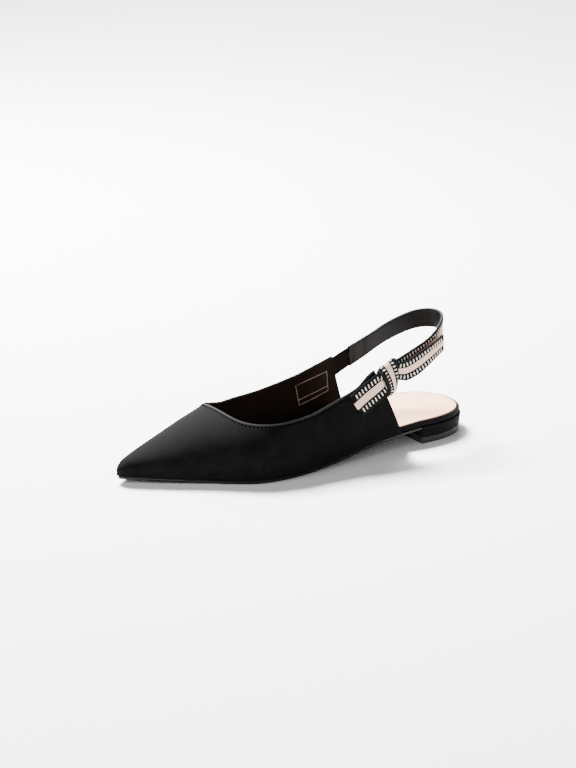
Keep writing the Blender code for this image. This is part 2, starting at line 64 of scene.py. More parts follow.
class Side(Enum):
    """A side of the shoe, with the sign of its sideways direction."""

    LATERAL = -1
    MEDIAL = 1


class Slot(Enum):
    """The record's material slots."""

    TEXTILE = "black_textile"
    BOARD = "covered_board"
    SOCK = "nude_sock"
    SOLE = "sole_rubber"
    HEEL = "covered_heel"
    LIFT = "lift_rubber"
    STRAP = "strap_lining"
    ELASTIC = "elastic"
    RIBBON = "striped_ribbon"


# Shader tools.


class Socket:
    """An output of a shader node. Arithmetic on it adds Math nodes."""

    def __init__(self, tree: "Tree", output: bpy.types.NodeSocket) -> None:
        """Wraps an output of the tree's nodes."""
        self.tree = tree
        self.output = output

    def math(self, operation: str, first: "Value", second: "Value" = 0.0) -> "Socket":
        """The result of a Math node."""
        settings = {"operation": operation}
        return self.tree.node("ShaderNodeMath", settings, {0: first, 1: second})

    def __add__(self, other: "Value") -> "Socket":
        """The sum."""
        return self.math("ADD", self, other)

    def __radd__(self, other: "Value") -> "Socket":
        """The sum, with the number first."""
        return self.math("ADD", other, self)

    def __sub__(self, other: "Value") -> "Socket":
        """The difference."""
        return self.math("SUBTRACT", self, other)

    def __rsub__(self, other: "Value") -> "Socket":
        """The difference, with the number first."""
        return self.math("SUBTRACT", other, self)

    def __mul__(self, other: "Value") -> "Socket":
        """The product."""
        return self.math("MULTIPLY", self, other)

    def __rmul__(self, other: "Value") -> "Socket":
        """The product, with the number first."""
        return self.math("MULTIPLY", other, self)

    def __abs__(self) -> "Socket":
        """The value without its sign."""
        return self.math("ABSOLUTE", self)

    def wave(self, pitch: float) -> "Socket":
        """A sine of this length, 0 to 1, once every pitch."""
        return 0.5 + 0.5 * self.math("SINE", self * (math.tau / pitch))

    def under(self, limit: float, soft: float) -> "Socket":
        """1 where this value is under the limit, 0 over it.

        Args:
            limit: where the mask is half way.
            soft: how wide its soft edge is.

        Returns:
            The mask.
        """
        settings = {"interpolation_type": "SMOOTHSTEP"}
        ends = {0: self, 1: limit - 0.5 * soft, 2: limit + 0.5 * soft, 3: 1.0, 4: 0.0}
        return self.tree.node("ShaderNodeMapRange", settings, ends)


Value = Union[Socket, float]


def times(colour: Colour, share: float) -> Colour:
    """The colour with each of its parts times the share."""
    return tuple(share * part for part in colour)


class Tree:
    """The nodes of one material, with a Principled shader in the middle."""

    def __init__(self, name: str) -> None:
        """Starts a material.

        Args:
            name: its name.
        """
        self.material = bpy.data.materials.new(name)
        self.material.use_nodes = True
        self.nodes = self.material.node_tree.nodes
        self.links = self.material.node_tree.links
        self.shader = self.nodes["Principled BSDF"]

    def node(self, kind: str, settings: dict, inputs: dict, output: int = 0) -> Socket:
        """Adds a node.

        Args:
            kind: the node's type.
            settings: its properties, set first.
            inputs: a value or a Socket for each input, by name or number.
            output: which output to give back.

        Returns:
            That output.
        """
        made = self.nodes.new(kind)
        for key, value in settings.items():
            setattr(made, key, value)
        for key, value in inputs.items():
            self.feed(made.inputs[key], value)
        return Socket(self, made.outputs[output])

    def feed(self, socket: bpy.types.NodeSocket, value: object) -> None:
        """Links a Socket to an input, or sets the input's own value.

        Args:
            socket: the input.
            value: a Socket, a number or a tuple.
        """
        if isinstance(value, Socket):
            self.links.new(value.output, socket)
        elif socket.type == "RGBA" and len(value) == 3:
            socket.default_value = (*value, 1.0)
        else:
            socket.default_value = value

    def coat(self, **inputs: object) -> None:
        """Feeds the shader's inputs, each named with underscores for spaces."""
        for key, value in inputs.items():
            self.feed(self.shader.inputs[key.replace("_", " ")], value)

    def place(self) -> Socket:
        """Object coordinates, in metres."""
        return self.node("ShaderNodeTexCoord", {}, {}, 3)

    def cloth(self) -> tuple[Socket, Socket]:
        """The two coordinates of the piece's own map."""
        where = self.node("ShaderNodeUVMap", {"uv_map": CLOTH_MAP}, {})
        along = self.node("ShaderNodeSeparateXYZ", {}, {0: where}, 0)
        across = self.node("ShaderNodeSeparateXYZ", {}, {0: where}, 1)
        return along, across

    def noise(self, size: float, detail: float = 2.0, stretch: Optional[Triple] = None) -> Socket:
        """Smooth noise on Object coordinates.

        Args:
            size: the size of its spots, in millimetres.
            detail: how many finer layers it has.
            stretch: how many times closer its spots are along each axis.

        Returns:
            The noise, 0 to 1.
        """
        where = self.place()
        if stretch is not None:
            where = self.node("ShaderNodeMapping", {}, {"Vector": where, "Scale": stretch})
        ends = {"Vector": where, "Scale": 1.0 / (size * MM), "Detail": detail}
        return self.node("ShaderNodeTexNoise", {}, ends)

    def cells(self, size: float) -> Socket:
        """Distance from the nearest of many points this many millimetres apart, for grain."""
        ends = {"Vector": self.place(), "Scale": 1.0 / (size * MM)}
        return self.node("ShaderNodeTexVoronoi", {}, ends)

    def mix(self, factor: Value, first: object, second: object) -> Socket:
        """A mix of two colours, where the factor 0 gives the first and 1 the second."""
        settings = {"data_type": "RGBA", "clamp_factor": True}
        return self.node("ShaderNodeMix", settings, {0: factor, 6: first, 7: second}, 2)

    def bump(self, height: Value, depth: float, strength: float = 1.0) -> Socket:
        """A normal from a height of 0 to 1, where 1 is depth in millimetres."""
        ends = {"Height": height, "Distance": depth * MM, "Strength": strength}
        return self.node("ShaderNodeBump", {}, ends)


@dataclass(frozen=True)
class Finish:
    """A finish of the shoe. Each kind paints its own nodes."""

    name: str
    colour: Colour
    roughness: float

    def material(self) -> bpy.types.Material:
        """The material of this finish, made once."""
        made = bpy.data.materials.get(self.name)
        if made is None:
            tree = Tree(self.name)
            self.paint(tree)
            made = tree.material
        return made

    def paint(self, tree: Tree) -> None:
        """Builds the material's nodes."""
        raise NotImplementedError


@dataclass(frozen=True)
class Nap(Finish):
    """A fine suede-like textile: brushed spots, short fibres and a soft sheen."""

    brushed: Colour = (0.05, 0.05, 0.052)
    sheen: float = 0.08
    gloss: float = 0.12
    # Strength of the painted highlight along the folded top edge and the band down to the stitch groove.
    fold_light: float = 0.0
    edge_depth: float = 0.8
    groove_depth: float = 2.2

    def paint(self, tree: Tree) -> None:
        """Mixes the brushed spots into the colour and raises the fibres.

        Args:
            tree: the material's nodes.
        """
        spots = tree.noise(9.0, 3.0)
        fibres = tree.noise(0.32, 4.0)
        shade = spots * 0.55 + fibres * 0.45
        colour = tree.mix((shade - 0.32) * 2.2, self.colour, self.brushed)
        height = fibres * 0.7 + tree.noise(1.1, 2.0) * 0.3
        # Along a folded top edge the colour carries a painted highlight on the fold and painted shade in
        # the stitch groove.
        if self.fold_light > 0.0:
            depth = tree.cloth()[1]
            edge = depth.under(self.edge_depth, 0.6)
            groove = abs(depth - self.groove_depth).under(0.45, 0.5)
            band = depth.under(self.groove_depth, 0.4)
            fold = (edge * 0.75 + band * 0.25) * self.fold_light
            # Painted highlight: the fold and the band above the stitch groove are lightened towards a
            # pale grey.
            colour = tree.mix(fold, colour, times(self.brushed, 6.0))
            # Painted shade: the stitch groove is darkened; the dip of the groove in the bump below is
            # real relief.
            colour = tree.mix(groove * 0.6, colour, times(self.colour, 0.3))
            height = height - groove * 1.6
        tree.coat(
            Base_Color=colour,
            Roughness=self.roughness + (spots - 0.5) * 0.12,
            Normal=tree.bump(height, 0.16, 0.7),
            Sheen_Weight=self.sheen,
            Sheen_Roughness=0.42,
            Sheen_Tint=(0.85, 0.87, 0.92, 1.0),
            Specular_IOR_Level=self.gloss,
        )


@dataclass(frozen=True)
class Leather(Finish):
    """Smooth lining leather with a fine grain and faint shade changes."""

    deep: Colour = (0.02, 0.02, 0.02)
    grain: float = 0.55
    relief: float = 0.05
    coat_weight: float = 0.0
    gloss: float = 0.25

    def paint(self, tree: Tree) -> None:
        """Mixes two shades over the grain and raises its cells.

        Args:
            tree: the material's nodes.
        """
        cells = tree.cells(self.grain)
        shade = tree.noise(14.0, 3.0)
        height = cells * 0.65 + tree.noise(0.2, 3.0) * 0.35
        tree.coat(
            Base_Color=tree.mix(shade * 0.7 + cells * 0.3, self.deep, self.colour),
            Roughness=self.roughness + (tree.noise(3.0, 2.0) - 0.5) * 0.14,
            Normal=tree.bump(height, self.relief, 0.8),
            Specular_IOR_Level=self.gloss,
            Coat_Weight=self.coat_weight,
            Coat_Roughness=0.3,
        )


@dataclass(frozen=True)
class RawEdge(Finish):
    """The cut or folded edge of the upper's wall: textile along the top line, bare board
    and lining down its rear edges."""

    cut: Colour = (0.085, 0.042, 0.022)

    def paint(self, tree: Tree) -> None:
        """Shows the cut layers only below the folded top line.

        Args:
            tree: the material's nodes.
        """
        depth = tree.cloth()[1]
        cut = 1.0 - depth.under(1.2, 0.6)
        fibres = tree.noise(0.3, 4.0)
        layers = tree.mix(tree.noise(0.6, 3.0), self.cut, times(self.cut, 0.3))
        tree.coat(
            Base_Color=tree.mix(cut, self.colour, layers),
            Roughness=self.roughness,
            Normal=tree.bump(fibres, 0.14, 0.7),
            Specular_IOR_Level=0.03,
        )


@dataclass(frozen=True)
class Rubber(Finish):
    """Sole or lift rubber: dull, with fine speckle and faint scuffs."""

    scuffed: Colour = (0.1, 0.1, 0.1)
    shine: float = 0.0

    def paint(self, tree: Tree) -> None:
        """Mixes in speckle and long scuffs.

        Args:
            tree: the material's nodes.
        """
        speckle = tree.noise(0.35, 3.0)
        scuffs = tree.noise(6.0, 4.0, (1.0, 3.0, 3.0))
        tree.coat(
            Base_Color=tree.mix(speckle * 0.5 + scuffs * 0.35, self.colour, self.scuffed),
            Roughness=self.roughness + (scuffs - 0.5) * 0.2,
            Normal=tree.bump(speckle, 0.05, 0.5),
            Specular_IOR_Level=0.15,
            Coat_Weight=self.shine,
            Coat_Roughness=0.22,
        )


@dataclass(frozen=True)
class Thread(Finish):
    """Twisted sewing thread, or the floats of the ribbon's weave."""

    pale: Colour = (0.1, 0.1, 0.1)
    twist: float = 0.3

    def paint(self, tree: Tree) -> None:
        """Mixes two shades in thin strands.

        Args:
            tree: the material's nodes.
        """
        strands = tree.noise(self.twist, 3.0)
        tree.coat(
            Base_Color=tree.mix(strands, self.colour, self.pale),
            Roughness=self.roughness,
            Normal=tree.bump(strands, 0.08, 0.7),
            Specular_IOR_Level=0.0,
        )


@dataclass(frozen=True)
class Elastic(Finish):
    """Woven elastic, with cords along it and threads across them. Its map is in millimetres."""

    cord: Colour = (0.0036, 0.003, 0.0028)

    def paint(self, tree: Tree) -> None:
        """Raises the cords and crosses them with threads.

        Args:
            tree: the material's nodes.
        """
        along, across = tree.cloth()
        cords = across.wave(0.9)
        threads = along.wave(0.55)
        height = cords * 0.7 + threads * 0.3
        tree.coat(
            Base_Color=tree.mix(height * 0.8 + tree.noise(0.3) * 0.2, self.colour, self.cord),
            Roughness=self.roughness,
            Normal=tree.bump(height, 0.16, 0.9),
            Sheen_Weight=0.01,
            Sheen_Roughness=0.5,
            Specular_IOR_Level=0.05,
        )


@dataclass(frozen=True)
class Stripes:
    """The stripes of the ribbon, as distances from its middle when its width is 1."""

    middle: float = 0.15
    bars_from: float = 0.205
    bars_to: float = 0.405
    selvage: float = 0.425


@dataclass(frozen=True)
class RibbonWeave(Finish):
    """Ribbed ribbon: a beige middle stripe, black ground under the bars, ribbed selvages. Its
    map gives millimetres along it and a share of its width across it."""

    beige: Colour = (0.8, 0.57, 0.45)
    shaded: Colour = (0.6, 0.42, 0.32)
    selvage: Colour = (0.0075, 0.0075, 0.0078)
    stripes: Stripes = Stripes()
    rib_pitch: float = 0.62
    twill_pitch: float = 0.5
    width: float = 16.0

    def paint(self, tree: Tree) -> None:
        """Lays the stripes by the distance from the ribbon's middle.

        Args:
            tree: the material's nodes.
        """
        along, across = tree.cloth()
        away = abs(across - 0.5)
        ribs = along.wave(self.rib_pitch)
        twill = (along + across * self.width).wave(self.twill_pitch)
        stripe = away.under(self.stripes.middle, 0.016)
        edge = 1.0 - away.under(self.stripes.selvage, 0.014)
        threads = tree.noise(0.25, 3.0)
        pale = tree.mix(twill * 0.45 + threads * 0.35, self.beige, self.shaded)
        dark = tree.mix(edge * (0.35 + 0.65 * ribs), self.colour, self.selvage)
        height = stripe * twill * 0.4 + (1.0 - stripe) * ribs * 0.7 + threads * 0.3
        tree.coat(
            Base_Color=tree.mix(stripe, dark, pale),
            Roughness=self.roughness,
            Normal=tree.bump(height, 0.13, 0.85),
            Sheen_Weight=0.01,
            Sheen_Roughness=0.5,
            Specular_IOR_Level=0.05,
        )


@dataclass(frozen=True)
class Stamp(Finish):
    """The blank size field on the lining: a printed frame with nothing in it."""

    ink: Colour = (0.15, 0.14, 0.13)
    line: float = 0.02
    rule: float = 0.74

    def paint(self, tree: Tree) -> None:
        """Prints the frame and one rule, a little worn.

        Args:
            tree: the material's nodes.
        """
        along, across = tree.cloth()
        edge_u = 1.0 - abs(along - 0.5).under(0.5 - self.line, 0.008)
        edge_v = 1.0 - abs(across - 0.5).under(0.5 - self.line * 2.0, 0.016)
        rule = abs(across - self.rule).under(self.line * 0.9, 0.016)
        lines = edge_u.math("MAXIMUM", edge_u, edge_v)
        lines = lines.math("MAXIMUM", lines, rule)
        worn = lines.math("MINIMUM", tree.noise(0.7, 3.0) + 0.45, 1.0)
        tree.coat(
            Base_Color=tree.mix(lines * worn, self.colour, self.ink),
            Roughness=self.roughness,
            Normal=tree.bump(tree.cells(0.55), 0.04, 0.8),
            Specular_IOR_Level=0.05,
        )


@dataclass(frozen=True)
class Paper(Finish):
    """The plain pale floor."""

    def paint(self, tree: Tree) -> None:
        """A flat matt colour, which is all that a studio floor shows.

        Args:
            tree: the material's nodes.
        """
        grain = tree.noise(40.0, 2.0)
        tree.coat(
            Base_Color=tree.mix(grain, self.colour, times(self.colour, 0.985)),
            Roughness=self.roughness,
            Specular_IOR_Level=0.1,
        )


# The textile's last value switches on the painted highlight of the folded top edge and the painted shade
# of its stitch groove.
TEXTILE = Nap("black_nap", (0.0006, 0.0006, 0.00065), 0.86, (0.0048, 0.0048, 0.005), 0.022, 0.04, 1.0)
COVERING = Nap("heel_covering", (0.0013, 0.0013, 0.0014), 0.82, (0.0036, 0.0036, 0.0038), 0.03, 0.05)
LINING = Leather(
    "upper_lining", (0.0026, 0.0024, 0.0022), 0.7, (0.0016, 0.0015, 0.0014), 0.6, 0.05, 0.0, 0.04
)
RAW_EDGE = RawEdge("upper_edge", (0.004, 0.004, 0.0042), 0.85, (0.008, 0.005, 0.004))
SOCK = Leather("sock_leather", (0.92, 0.52, 0.34), 0.45, (0.86, 0.46, 0.28), 0.7, 0.03, 0.04, 0.3)
SOLE = Rubber("sole_edge", (0.003, 0.003, 0.003), 0.42, (0.008, 0.008, 0.008), 0.12)
LIFT = Rubber("lift_rubber_finish", (0.024, 0.0235, 0.024), 0.65, (0.04, 0.0392, 0.04), 0.02)
STRAP_LINING = Leather(
    "strap_leather", (0.005, 0.005, 0.0053), 0.42, (0.0016, 0.0016, 0.0017), 0.65, 0.05, 0.0, 0.1
)
EDGE_PAINT = Rubber("edge_paint", (0.0014, 0.0014, 0.0014), 0.5, (0.003, 0.003, 0.003), 0.04)
ELASTIC = Elastic("woven_elastic", (0.0012, 0.001, 0.0009), 0.85)
RIBBON = RibbonWeave("ribbon_weave", (0.0009, 0.0009, 0.0009), 0.8)
BAR_THREAD = Thread("bar_floats", (0.72, 0.66, 0.6), 0.65, (0.5, 0.45, 0.4), 0.35)
DARK_THREAD = Thread("dark_thread", (0.0003, 0.0003, 0.0003), 0.8, (0.0009, 0.0009, 0.0009), 0.25)
STRAP_THREAD = Thread("strap_thread", (0.0015, 0.0015, 0.0016), 0.6, (0.008, 0.008, 0.0084), 0.25)
STAMP = Stamp("blank_stamp", (0.0021, 0.0019, 0.0018), 0.7)
FLOOR = Paper("pale_floor", (0.93, 0.93, 0.93), 0.9)


# The form that the shoe is built on.


class Run:
    """A monotone cubic through points, which never swings past them."""

    def __init__(self, xs: Sequence[float], ys: Sequence[float]) -> None:
        """Works out its tangents.

        Args:
            xs: the places.
            ys: the value at each.
        """
        pairs = sorted(zip(xs, ys))
        self.xs = [x for x, _ in pairs]
        self.ys = [y for _, y in pairs]
        self.widths = [b - a for a, b in zip(self.xs, self.xs[1:])]
        slopes = [(b - a) / w for a, b, w in zip(self.ys, self.ys[1:], self.widths)]
        self.tangents = [slopes[0]]
        for k in range(1, len(slopes)):
            before, after = slopes[k - 1], slopes[k]
            if before * after <= 0.0:
                self.tangents.append(0.0)
            else:
                near = self.widths[k] * 2 + self.widths[k - 1]
                far = self.widths[k] + self.widths[k - 1] * 2
                self.tangents.append((near + far) / (near / before + far / after))
        self.tangents.append(slopes[-1])

    def __call__(self, x: float) -> float:
        """The value at x, held at its ends.

        Args:
            x: the place.

        Returns:
            The value.
        """
        if x <= self.xs[0]:
            return self.ys[0]
        if x >= self.xs[-1]:
            return self.ys[-1]
        k = bisect_right(self.xs, x) - 1
        t = (x - self.xs[k]) / self.widths[k]
        rise = self.ys[k] * (1 + 2 * t) * (1 - t) ** 2 + self.ys[k + 1] * t * t * (3 - 2 * t)
        lean = self.tangents[k] * t * (1 - t) ** 2 - self.tangents[k + 1] * t * t * (1 - t)
        return rise + lean * self.widths[k]


class Section(NamedTuple):
    """A section of the last: feather edges, bulge, widest height, ridge and fullness."""

    s: float
    lateral: float
    medial: float
    lateral_bulge: float
    medial_bulge: float
    belly: float
    ridge_y: float
    ridge_z: float
    fullness: float

    def edge(self, side: Side) -> float:
        """The feather edge of a side."""
        return self.lateral if side is Side.LATERAL else self.medial


class Topline(NamedTuple):
    """Where the upper's top edge cuts the section, as its turn on each side."""

    s: float
    lateral: float
    medial: float


class Quarter(NamedTuple):
    """The rear edge of a quarter: its station at the foot, and its top corner."""

    foot: float
    corner: float
    corner_z: float


class Dimple(NamedTuple):
    """A soft hollow or swelling of the upper: its middle, reach and height."""

    side: Side
    s: float
    turn: float
    s_reach: float
    turn_reach: float
    height: float


@dataclass
class Last:
    """The last, the top line cut in it and the underside below it."""

    heel_centre: float = 24.3
    toe_tip: float = 263.0
    throat: float = 192.6
    heel_breast: float = 48.6
    outsole: float = 2.2
    quarter_spacing: float = 1.6
    lateral_quarter: Quarter = Quarter(67.0, 89.5, 58.5)
    medial_quarter: Quarter = Quarter(73.5, 88.2, 55.0)
    sections: tuple[Section, ...] = (
        Section(263.0, 14.4, 14.4, 0.0, 0.0, 3.0, 14.4, 9.5, 2.2),
        Section(261.0, 11.2, 17.3, 0.3, 0.3, 4.0, 14.4, 12.5, 2.1),
        Section(257.0, 8.3, 20.0, 0.6, 0.5, 5.0, 14.2, 15.6, 2.0),
        Section(250.0, 4.0, 23.4, 0.9, 0.8, 6.0, 13.8, 18.3, 1.95),
        Section(240.0, -2.2, 27.4, 1.2, 1.1, 7.0, 12.8, 22.1, 1.9),
        Section(228.0, -9.2, 31.4, 1.5, 1.4, 8.0, 11.4, 26.9, 1.9),
        Section(215.0, -16.4, 35.2, 1.8, 1.7, 9.0, 9.8, 32.2, 1.95),
        Section(204.0, -23.6, 37.9, 2.0, 1.9, 10.0, 8.4, 36.5, 2.0),
        Section(194.0, -29.8, 39.8, 2.2, 2.0, 10.5, 7.2, 40.3, 2.05),
        Section(184.0, -34.4, 40.9, 2.3, 2.1, 11.0, 6.4, 45.3, 2.1),
        Section(174.0, -36.2, 40.8, 2.3, 2.2, 11.0, 5.6, 50.4, 2.1),
        Section(163.0, -36.9, 39.4, 2.2, 2.4, 11.0, 5.0, 55.5, 2.1),
        Section(146.0, -35.8, 35.6, 2.0, 2.8, 10.5, 4.0, 62.0, 2.1),
        Section(128.0, -34.0, 31.2, 1.8, 2.9, 10.0, 3.0, 69.0, 2.15),
        Section(110.0, -32.3, 28.0, 1.5, 2.6, 9.5, 2.0, 76.0, 2.2),
        Section(93.0, -30.4, 26.7, 1.1, 1.9, 9.0, 1.0, 84.0, 2.25),
        Section(80.0, -29.8, 26.9, 0.9, 1.3, 8.5, 0.5, 88.0, 2.3),
        Section(64.0, -29.9, 28.3, 0.7, 0.8, 8.0, 0.0, 92.0, 2.3),
        Section(48.6, -30.0, 29.7, 0.6, 0.6, 8.0, 0.0, 94.0, 2.3),
    )
    under: tuple[Plan, ...] = (
        (48.6, 10.5),
        (58.0, 9.8),
        (70.0, 8.6),
        (85.0, 6.9),
        (100.0, 4.9),
        (115.0, 2.9),
        (130.0, 1.2),
        (150.0, 0.0),
        (186.0, 0.0),
        (215.0, 0.6),
        (232.0, 1.7),
        (263.0, 3.3),
    )
    toplines: tuple[Topline, ...] = (
        Topline(192.6, 90.0, 90.0),
        Topline(191.8, 74.0, 71.6),
        Topline(189.7, 61.6, 59.1),
        Topline(185.0, 50.9, 44.5),
        Topline(177.8, 42.8, 33.1),
        Topline(166.4, 36.2, 26.1),
        Topline(152.1, 32.9, 26.4),
        Topline(136.0, 31.5, 27.1),
        Topline(120.0, 31.6, 27.9),
        Topline(106.0, 31.3, 28.9),
        Topline(90.0, 35.3, 29.6),
        Topline(80.0, 35.1, 31.0),
    )
    dimples: tuple[Dimple, ...] = (
        Dimple(Side.LATERAL, 150.0, 12.0, 26.0, 18.0, -0.35),
        Dimple(Side.LATERAL, 196.0, 30.0, 18.0, 16.0, 0.25),
        Dimple(Side.LATERAL, 112.0, 4.0, 12.0, 14.0, 0.2),
        Dimple(Side.MEDIAL, 140.0, 10.0, 24.0, 18.0, -0.3),
        Dimple(Side.MEDIAL, 205.0, 34.0, 20.0, 16.0, 0.2),
    )

    def __post_init__(self) -> None:
        """Makes a run through each column."""
        scaled = [self.toe_scale(row.s) for row in self.sections]
        self.columns = {
            name: Run(scaled, [getattr(row, name) for row in self.sections])
            for name in Section._fields[1:]
        }
        cuts = [math.sqrt(max(self.throat - row.s, 0.0)) for row in self.toplines]
        self.tops = {
            Side.LATERAL: Run(cuts, [row.lateral for row in self.toplines]),
            Side.MEDIAL: Run(cuts, [row.medial for row in self.toplines]),
        }
        self.under_run = Run([row[0] for row in self.under], [row[1] for row in self.under])

    def point(self, s: float, y: float, z: float) -> Vector:
        """The world point, in metres, at station s, sideways place y and height z."""
        return Vector(((self.heel_centre - s) * MM, y * MM, z * MM))

    def toe_scale(self, s: float) -> float:
        """The root of the distance from the tip, in which a rounded toe is a straight run."""
        return math.sqrt(max(self.toe_tip - s, 0.0))

    def section(self, s: float) -> Section:
        """The section of the last at any station."""
        scaled = self.toe_scale(s)
        return Section(s, *[run(scaled) for run in self.columns.values()])

    def underside(self, s: float) -> float:
        """Height of the outsole's underside."""
        return self.under_run(s)

    def feather(self, s: float) -> float:
        """Height of the upper's lower edge."""
        return self.underside(s) + self.outsole + GAP

    def quarter(self, side: Side) -> Quarter:
        """The quarter of a side."""
        return self.lateral_quarter if side is Side.LATERAL else self.medial_quarter

    def top_turn(self, s: float, side: Side) -> float:
        """The turn of the top edge at station s."""
        return self.tops[side](math.sqrt(max(self.throat - s, 0.0)))

    def swell(self, s: float, side: Side, turn: float) -> float:
        """How far the placed hollows and swellings move the upper's face outwards.

        Args:
            s: the station.
            side: the side.
            turn: the turn on the section.

        Returns:
            Millimetres.
        """
        total = 0.0
        for dimple in self.dimples:
            if dimple.side is side:
                far = ((s - dimple.s) / dimple.s_reach) ** 2
                far += ((turn - dimple.turn) / dimple.turn_reach) ** 2
                total += dimple.height * math.exp(-far)
        return total

    def skin(self, s: float, side: Side, turn: float) -> Vector:
        """A point of the upper's outer face, in metres.

        Args:
            s: the station.
            side: the side.
            turn: -90 at the feather edge, 0 where the wall is widest, 90 on the ridge.

        Returns:
            The point.
        """
        row = self.section(s)
        sign = side.value
        edge = row.edge(side)
        bulge = row.lateral_bulge if side is Side.LATERAL else row.medial_bulge
        widest = edge + sign * bulge
        height = self.feather(s) + row.belly
        angle = math.radians(turn)
        swell = self.swell(s, side, turn)
        if turn <= 0.0:
            y = widest - sign * bulge * (1.0 - math.cos(angle)) + sign * swell * math.cos(angle)
            return self.point(s, y, height + row.belly * math.sin(angle))
        across = max(math.cos(angle), 0.0) ** (2.0 / row.fullness)
        rise = math.sin(angle) ** (2.0 / row.fullness)
        y = row.ridge_y + (widest - row.ridge_y) * across + sign * swell * math.cos(angle)
        z = height + (row.ridge_z - height) * rise + swell * math.sin(angle)
        return self.point(s, y, z)

    def wall(self, s: float, side: Side, z: float) -> float:
        """Sideways place of a wall's outer face, above where it is widest.

        Args:
            s: the station.
            side: the side.
            z: the height.

        Returns:
            Its y, in millimetres.
        """
        row = self.section(s)
        height = self.feather(s) + row.belly
        if side is Side.LATERAL:
            widest = row.lateral - row.lateral_bulge
        else:
            widest = row.medial + row.medial_bulge
        rise = min(max((z - height) / (row.ridge_z - height), 0.0), 1.0)
        across = (1.0 - rise ** row.fullness) ** (1.0 / row.fullness)
        return row.ridge_y + (widest - row.ridge_y) * across

    def inner(self, s: float, side: Side, z: float, depth: float) -> tuple[Vector, Vector]:
        """A point inside a wall's outer face, measured square to it.

        Args:
            s: the station.
            side: the side.
            z: the height.
            depth: how deep, in millimetres.

        Returns:
            The point, in metres, and the direction inwards.
        """
        point = self.point(s, self.wall(s, side, z), z)
        ahead = self.point(s + 0.5, self.wall(s + 0.5, side, z), z) - point
        above = self.point(s, self.wall(s, side, z + 0.5), z + 0.5) - point
        inwards = ahead.cross(above).normalized()
        if inwards.y * side.value > 0.0:
            inwards = -inwards
        return point + inwards * depth * MM, inwards

    def quarter_ends(self, share: float, side: Side) -> Plan:
        """The stations of the foot and the head of a quarter's column, which leans.

        Args:
            share: 0 at the throat and 1 at the rear edge.
            side: the side.

        Returns:
            Both stations.
        """
        quarter = self.quarter(side)
        back = share ** self.quarter_spacing
        foot = self.throat + (quarter.foot - self.throat) * back
        head = self.throat + (quarter.corner - self.throat) * back
        return foot, head

    def quarter_point(self, share: float, side: Side, turn: float) -> Vector:
        """A point of a quarter's column, at a turn of its section.

        Args:
            share: 0 at the throat and 1 at the rear edge.
            side: the side.
            turn: the turn.

        Returns:
            The point, in metres.
        """
        quarter = self.quarter(side)
        foot, head = self.quarter_ends(share, side)
        low = self.feather(quarter.foot)
        s = foot
        for _ in range(4):
            height = self.skin(s, side, turn).z / MM
            lean = min(max((height - low) / (quarter.corner_z - low), 0.0), 1.0)
            s = foot + (head - foot) * lean
        if turn >= self.top_turn(head, side) - 1e-6:
            s = head
        return self.skin(s, side, turn)

    def toe_stations(self, start: float, count: int) -> list[float]:
        """Stations from start to just before the tip, closer together where the toe rounds."""
        reach = self.toe_scale(start)
        return [self.toe_tip - (reach * (1.0 - k / count)) ** 2 for k in range(count)]


# Pieces of mesh.


